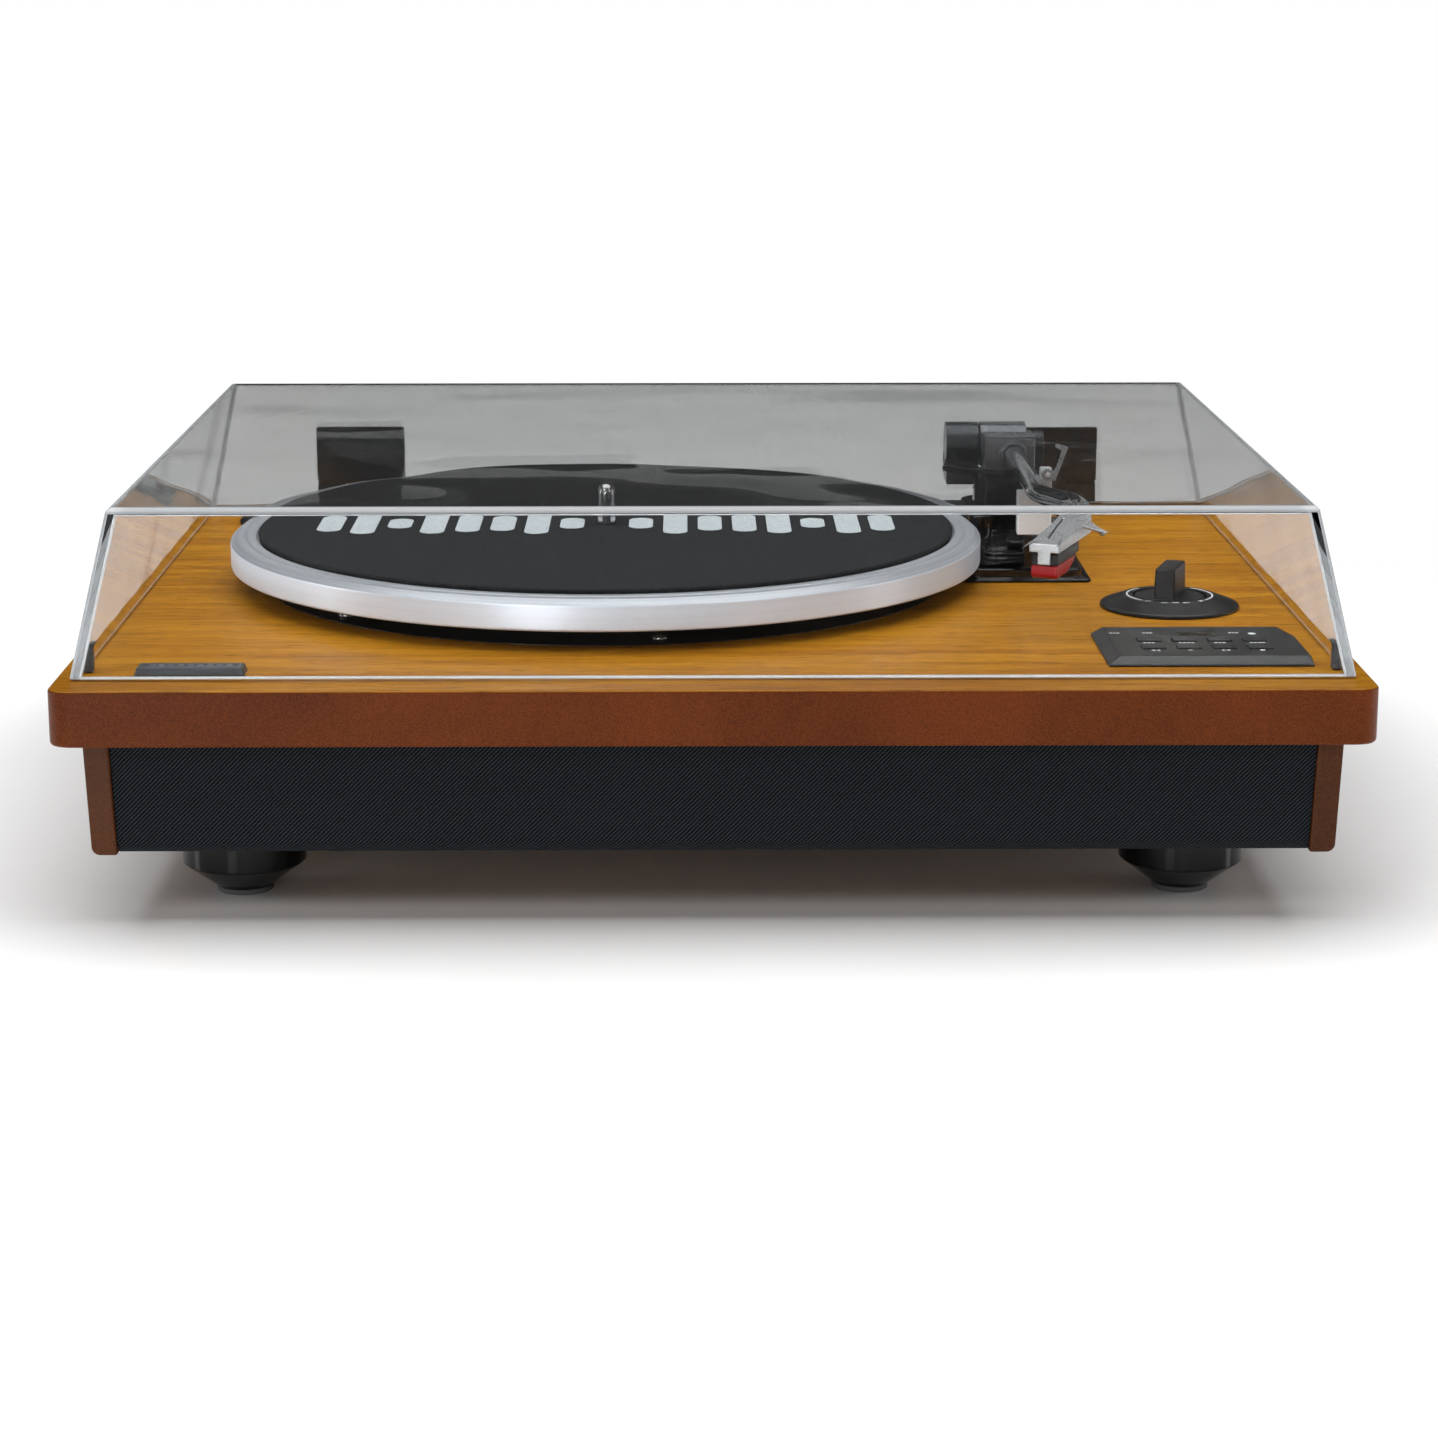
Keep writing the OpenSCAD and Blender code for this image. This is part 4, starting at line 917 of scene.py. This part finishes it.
def print_dial_signs():
    """An arc on either side, a minus and a plus sign at their ends, and three dashes in front."""
    top, centre = round_box("volume_bezel")[1].z, round_box("volume_bezel")[2]
    ink = bmesh.new()
    inner, outer, steps = 0.0161, 0.0166, 16
    for first, last in ((128, 222), (-42, 52)):
        turns = [math.radians(first + (last - first) * k / steps) for k in range(steps + 1)]
        arc = [(centre[0] + r * math.cos(a), centre[1] + r * math.sin(a))
               for r, row in ((outer, turns), (inner, turns[::-1])) for a in row]
        add_print(ink, arc, top)
    middle, sign_turn = 0.0164, math.radians(-52)
    across, y = middle * math.cos(sign_turn), centre[1] + middle * math.sin(sign_turn)
    add_print(ink, oblong(centre[0] - across, y, 0.0022, 0.0005), top)
    add_print(ink, oblong(centre[0] + across, y, 0.0022, 0.0005), top)
    add_print(ink, oblong(centre[0] + across, y, 0.0005, 0.0022), top, 0.00007)
    for step in (-1, 0, 1):
        add_print(ink, oblong(centre[0] + 0.0042 * step, centre[1] - 0.0162, 0.0026, 0.0006), top)
    add_piece("dial_print", ink, white_ink, crease=20)


build_dial()
print_dial_signs()
knob_black = moulding("knob_black", linear(16, 16, 17), 0.42, dust=0.02, Specular_IOR_Level=0.3)
finish_node("volume_grip", "volume_knob", 0.0006, knob_black, 3)
finish_node("potentiometer_can", "potentiometer", 0.0003, zinc)

# ---- badge ----
# A small die-cast plate with sloping sides, painted dark grey, without any name, glued to the
# board's front left. A raised line runs round a row of plain raised bars on its face.

badge_grey = metal("badge_paint", linear(74, 76, 80), 0.34, 2000.0, metallic=0.6)
finish_node("blank_badge", "badge", 0.0004, badge_grey, 3)


def frame_badge():
    low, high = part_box("badge")
    made = bmesh.new()
    side, line, face = 0.0022, 0.0004, high.z - 0.00002
    x0, x1, y0, y1 = low.x + side, high.x - side, low.y + side, high.y - side
    for y in (y0, y1):
        add_print(made, oblong((x0 + x1) / 2, y, x1 - x0, line), face)
    for x in (x0, x1):
        add_print(made, oblong(x, (y0 + y1) / 2, line, y1 - y0), face)
    bars, margin = 9, 0.002
    pitch = (x1 - x0 - 2 * margin) / bars
    for step in range(bars):
        tall = (y1 - y0) * (0.34 + 0.3 * abs(math.sin(1.3 * step + 0.6)))
        x = x0 + margin + pitch * (step + 0.5)
        add_print(made, oblong(x, (y0 + y1) / 2, pitch * 0.62, tall), face)
    pale = metal("badge_line", linear(150, 152, 155), 0.3, metallic=0.8)
    add_piece("badge_line", made, pale, crease=20)


frame_badge()

# ---- tonearm base ----
# A stepped gloss-black moulding, screwed down from below, with the arm's post, the cue lever's
# ears and the arm rest on it.

gloss_black = moulding("gloss_black_plastic", linear(12, 12, 14), 0.14, depth=0.000002, dust=0.02)
dark_metal = metal("dark_grey_metal", linear(84, 87, 90), 0.24, metallic=0.75)
silver_paint = metal("silver_paint", linear(176, 178, 181), 0.28, 4000.0, 0.000003,
                     metallic=0.75)
rest_silver = metal("rest_silver", linear(222, 223, 226), 0.32, metallic=0.35)
finish_node("arm_base", "tonearm_base", 0.0008, gloss_black, 3)
finish_node("arm_post", "pivot_post", 0.0004, gloss_black)
finish_node("rest_bracket", "arm_rest", 0.0006, rest_silver, 3)
finish_node("rest_clip", "arm_clip", 0.0003, silver_paint)
finish_node("cue_handle", "cue_lever", 0.0005, gloss_black)
finish_node("cue_bridge", "cue_lift", 0.0003, satin_black)

# ---- tonearm ----
# The yoke turns on the post and carries the arm's cross shaft in its dark barrel. The block,
# the bent tube, the headshell and the weight pivot together on that shaft.

block_grey = metal("block_grey", linear(128, 131, 135), 0.24, metallic=0.7)
chrome = metal("bright_chrome", linear(226, 227, 229), 0.1, 4000.0, 0.000001)
red_plastic = moulding("red_plastic", linear(142, 4, 12), 0.3, dust=0.0, Specular_IOR_Level=0.3)
finish_node("gimbal_yoke", "arm_yoke", 0.0005, dark_metal)
finish_node("arm_pivot_block", "arm_block", 0.0006, block_grey)
finish_node("bent_tube", "arm_tube", 0.0003, chrome, crease=40)
finish_node("finger_lift_headshell", "headshell", 0.00035, silver_paint)
finish_node("cartridge_body", "cartridge", 0.0004, satin_black)
finish_node("stylus_holder", "stylus", 0.0004, red_plastic)
finish_node("arm_weight", "counterweight", 0.0008, dark_metal, 3)

# ---- lid ----
# One clear acrylic moulding, 3 mm thick with flame-polished edges. Two dark rubber buffers
# inside its front corners keep it off the board.


def acrylic_material():
    """Clear and glossy, with the slight waves of a moulded sheet. Lamps shine through it."""
    material, tree, shader = new_material("clear_acrylic", Base_Color=(0.965, 0.975, 0.975, 1),
                                          Roughness=0.0, IOR=1.49, Transmission_Weight=1.0)
    vector = put(tree, "TexCoord").outputs["Object"]
    waves = put(tree, "TexNoise", Vector=vector, Scale=11.0, Detail=1.0).outputs[0]
    add_bump(tree, shader, waves, 0.0004, 0.6)
    passing = put(tree, "BsdfTransparent", Color=(0.93, 0.94, 0.94, 1))
    choice = put(tree, "MixShader", Fac=put(tree, "LightPath").outputs["Is Shadow Ray"])
    join(tree, shader.outputs[0], choice.inputs[1])
    join(tree, passing.outputs[0], choice.inputs[2])
    join(tree, choice.outputs[0], tree.nodes["Material Output"].inputs["Surface"])
    return material


def edge_material():
    """The polished edges are given a pale grey colour and a faint glow: painted light for the light that
    runs inside the sheet and gathers there.
    """
    material, tree, shader = new_material("acrylic_edge_painted_glow", Base_Color=(0.56, 0.58, 0.6, 1), IOR=1.49,
                                          Roughness=0.1, Transmission_Weight=0.5,
                                          Emission_Color=(0.9, 0.95, 1, 1), Emission_Strength=0.05)
    vector = put(tree, "TexCoord").outputs["Object"]
    waves = put(tree, "TexNoise", Vector=vector, Scale=60.0, Detail=2.0).outputs[0]
    add_bump(tree, shader, waves, 0.0004)
    return material


def build_lid():
    """Wide rounding on the top's outer edges and the sloping corners, and a fine one elsewhere."""
    low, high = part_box("dust_lid")
    made = node_shape("dust_lid")

    def on_top(edge):
        return min(v.co.z for v in edge.verts) > high.z - 0.0003

    def upright(edge):
        return abs(edge.verts[0].co.z - edge.verts[1].co.z) > 0.02

    # the rounded edges take the edge material, with its painted pale colour and glow
    for radius, chosen in ((0.0022, on_top), (0.0012, upright), (0.0004, lambda edge: True)):
        sharp = [e for e in sharp_edges(made, 40) if chosen(e)]
        bmesh.ops.bevel(made, geom=sharp, offset=radius, segments=4, profile=0.5, affect="EDGES",
                        material=1)
    # the bottom rim faces get the edge material's painted glow too
    for face in made.faces:
        if face.normal.z < -0.9 and face.calc_center_median().z < low.z + 0.001:
            face.material_index = 1
    lid = add_piece("clear_lid", made, acrylic_material(), "dust_lid", ["dust_lid"])
    lid.data.materials.append(edge_material())


build_lid()
buffer_rubber = moulding("dark_rubber", linear(58, 60, 62), 0.6, 900.0, 0.00004)
finish_node("lid_buffer_pads", "lid_buffers", 0.0006, buffer_rubber, 3)

# ---- hinges ----
# Two friction hinges in black plastic on steel pins: the leaf is bonded to the lid's back wall
# and the base is screwed to the board.

hinge_black = moulding("hinge_black", linear(12, 13, 14), 0.45, dust=0.02,
                       Specular_IOR_Level=0.25)
finish_node("hinge_arms", "hinge_leaves", 0.0006, hinge_black)
finish_node("hinge_feet", "hinge_bases", 0.0004, hinge_black)
finish_node("hinge_shafts", "hinge_pins", 0.0003, zinc)
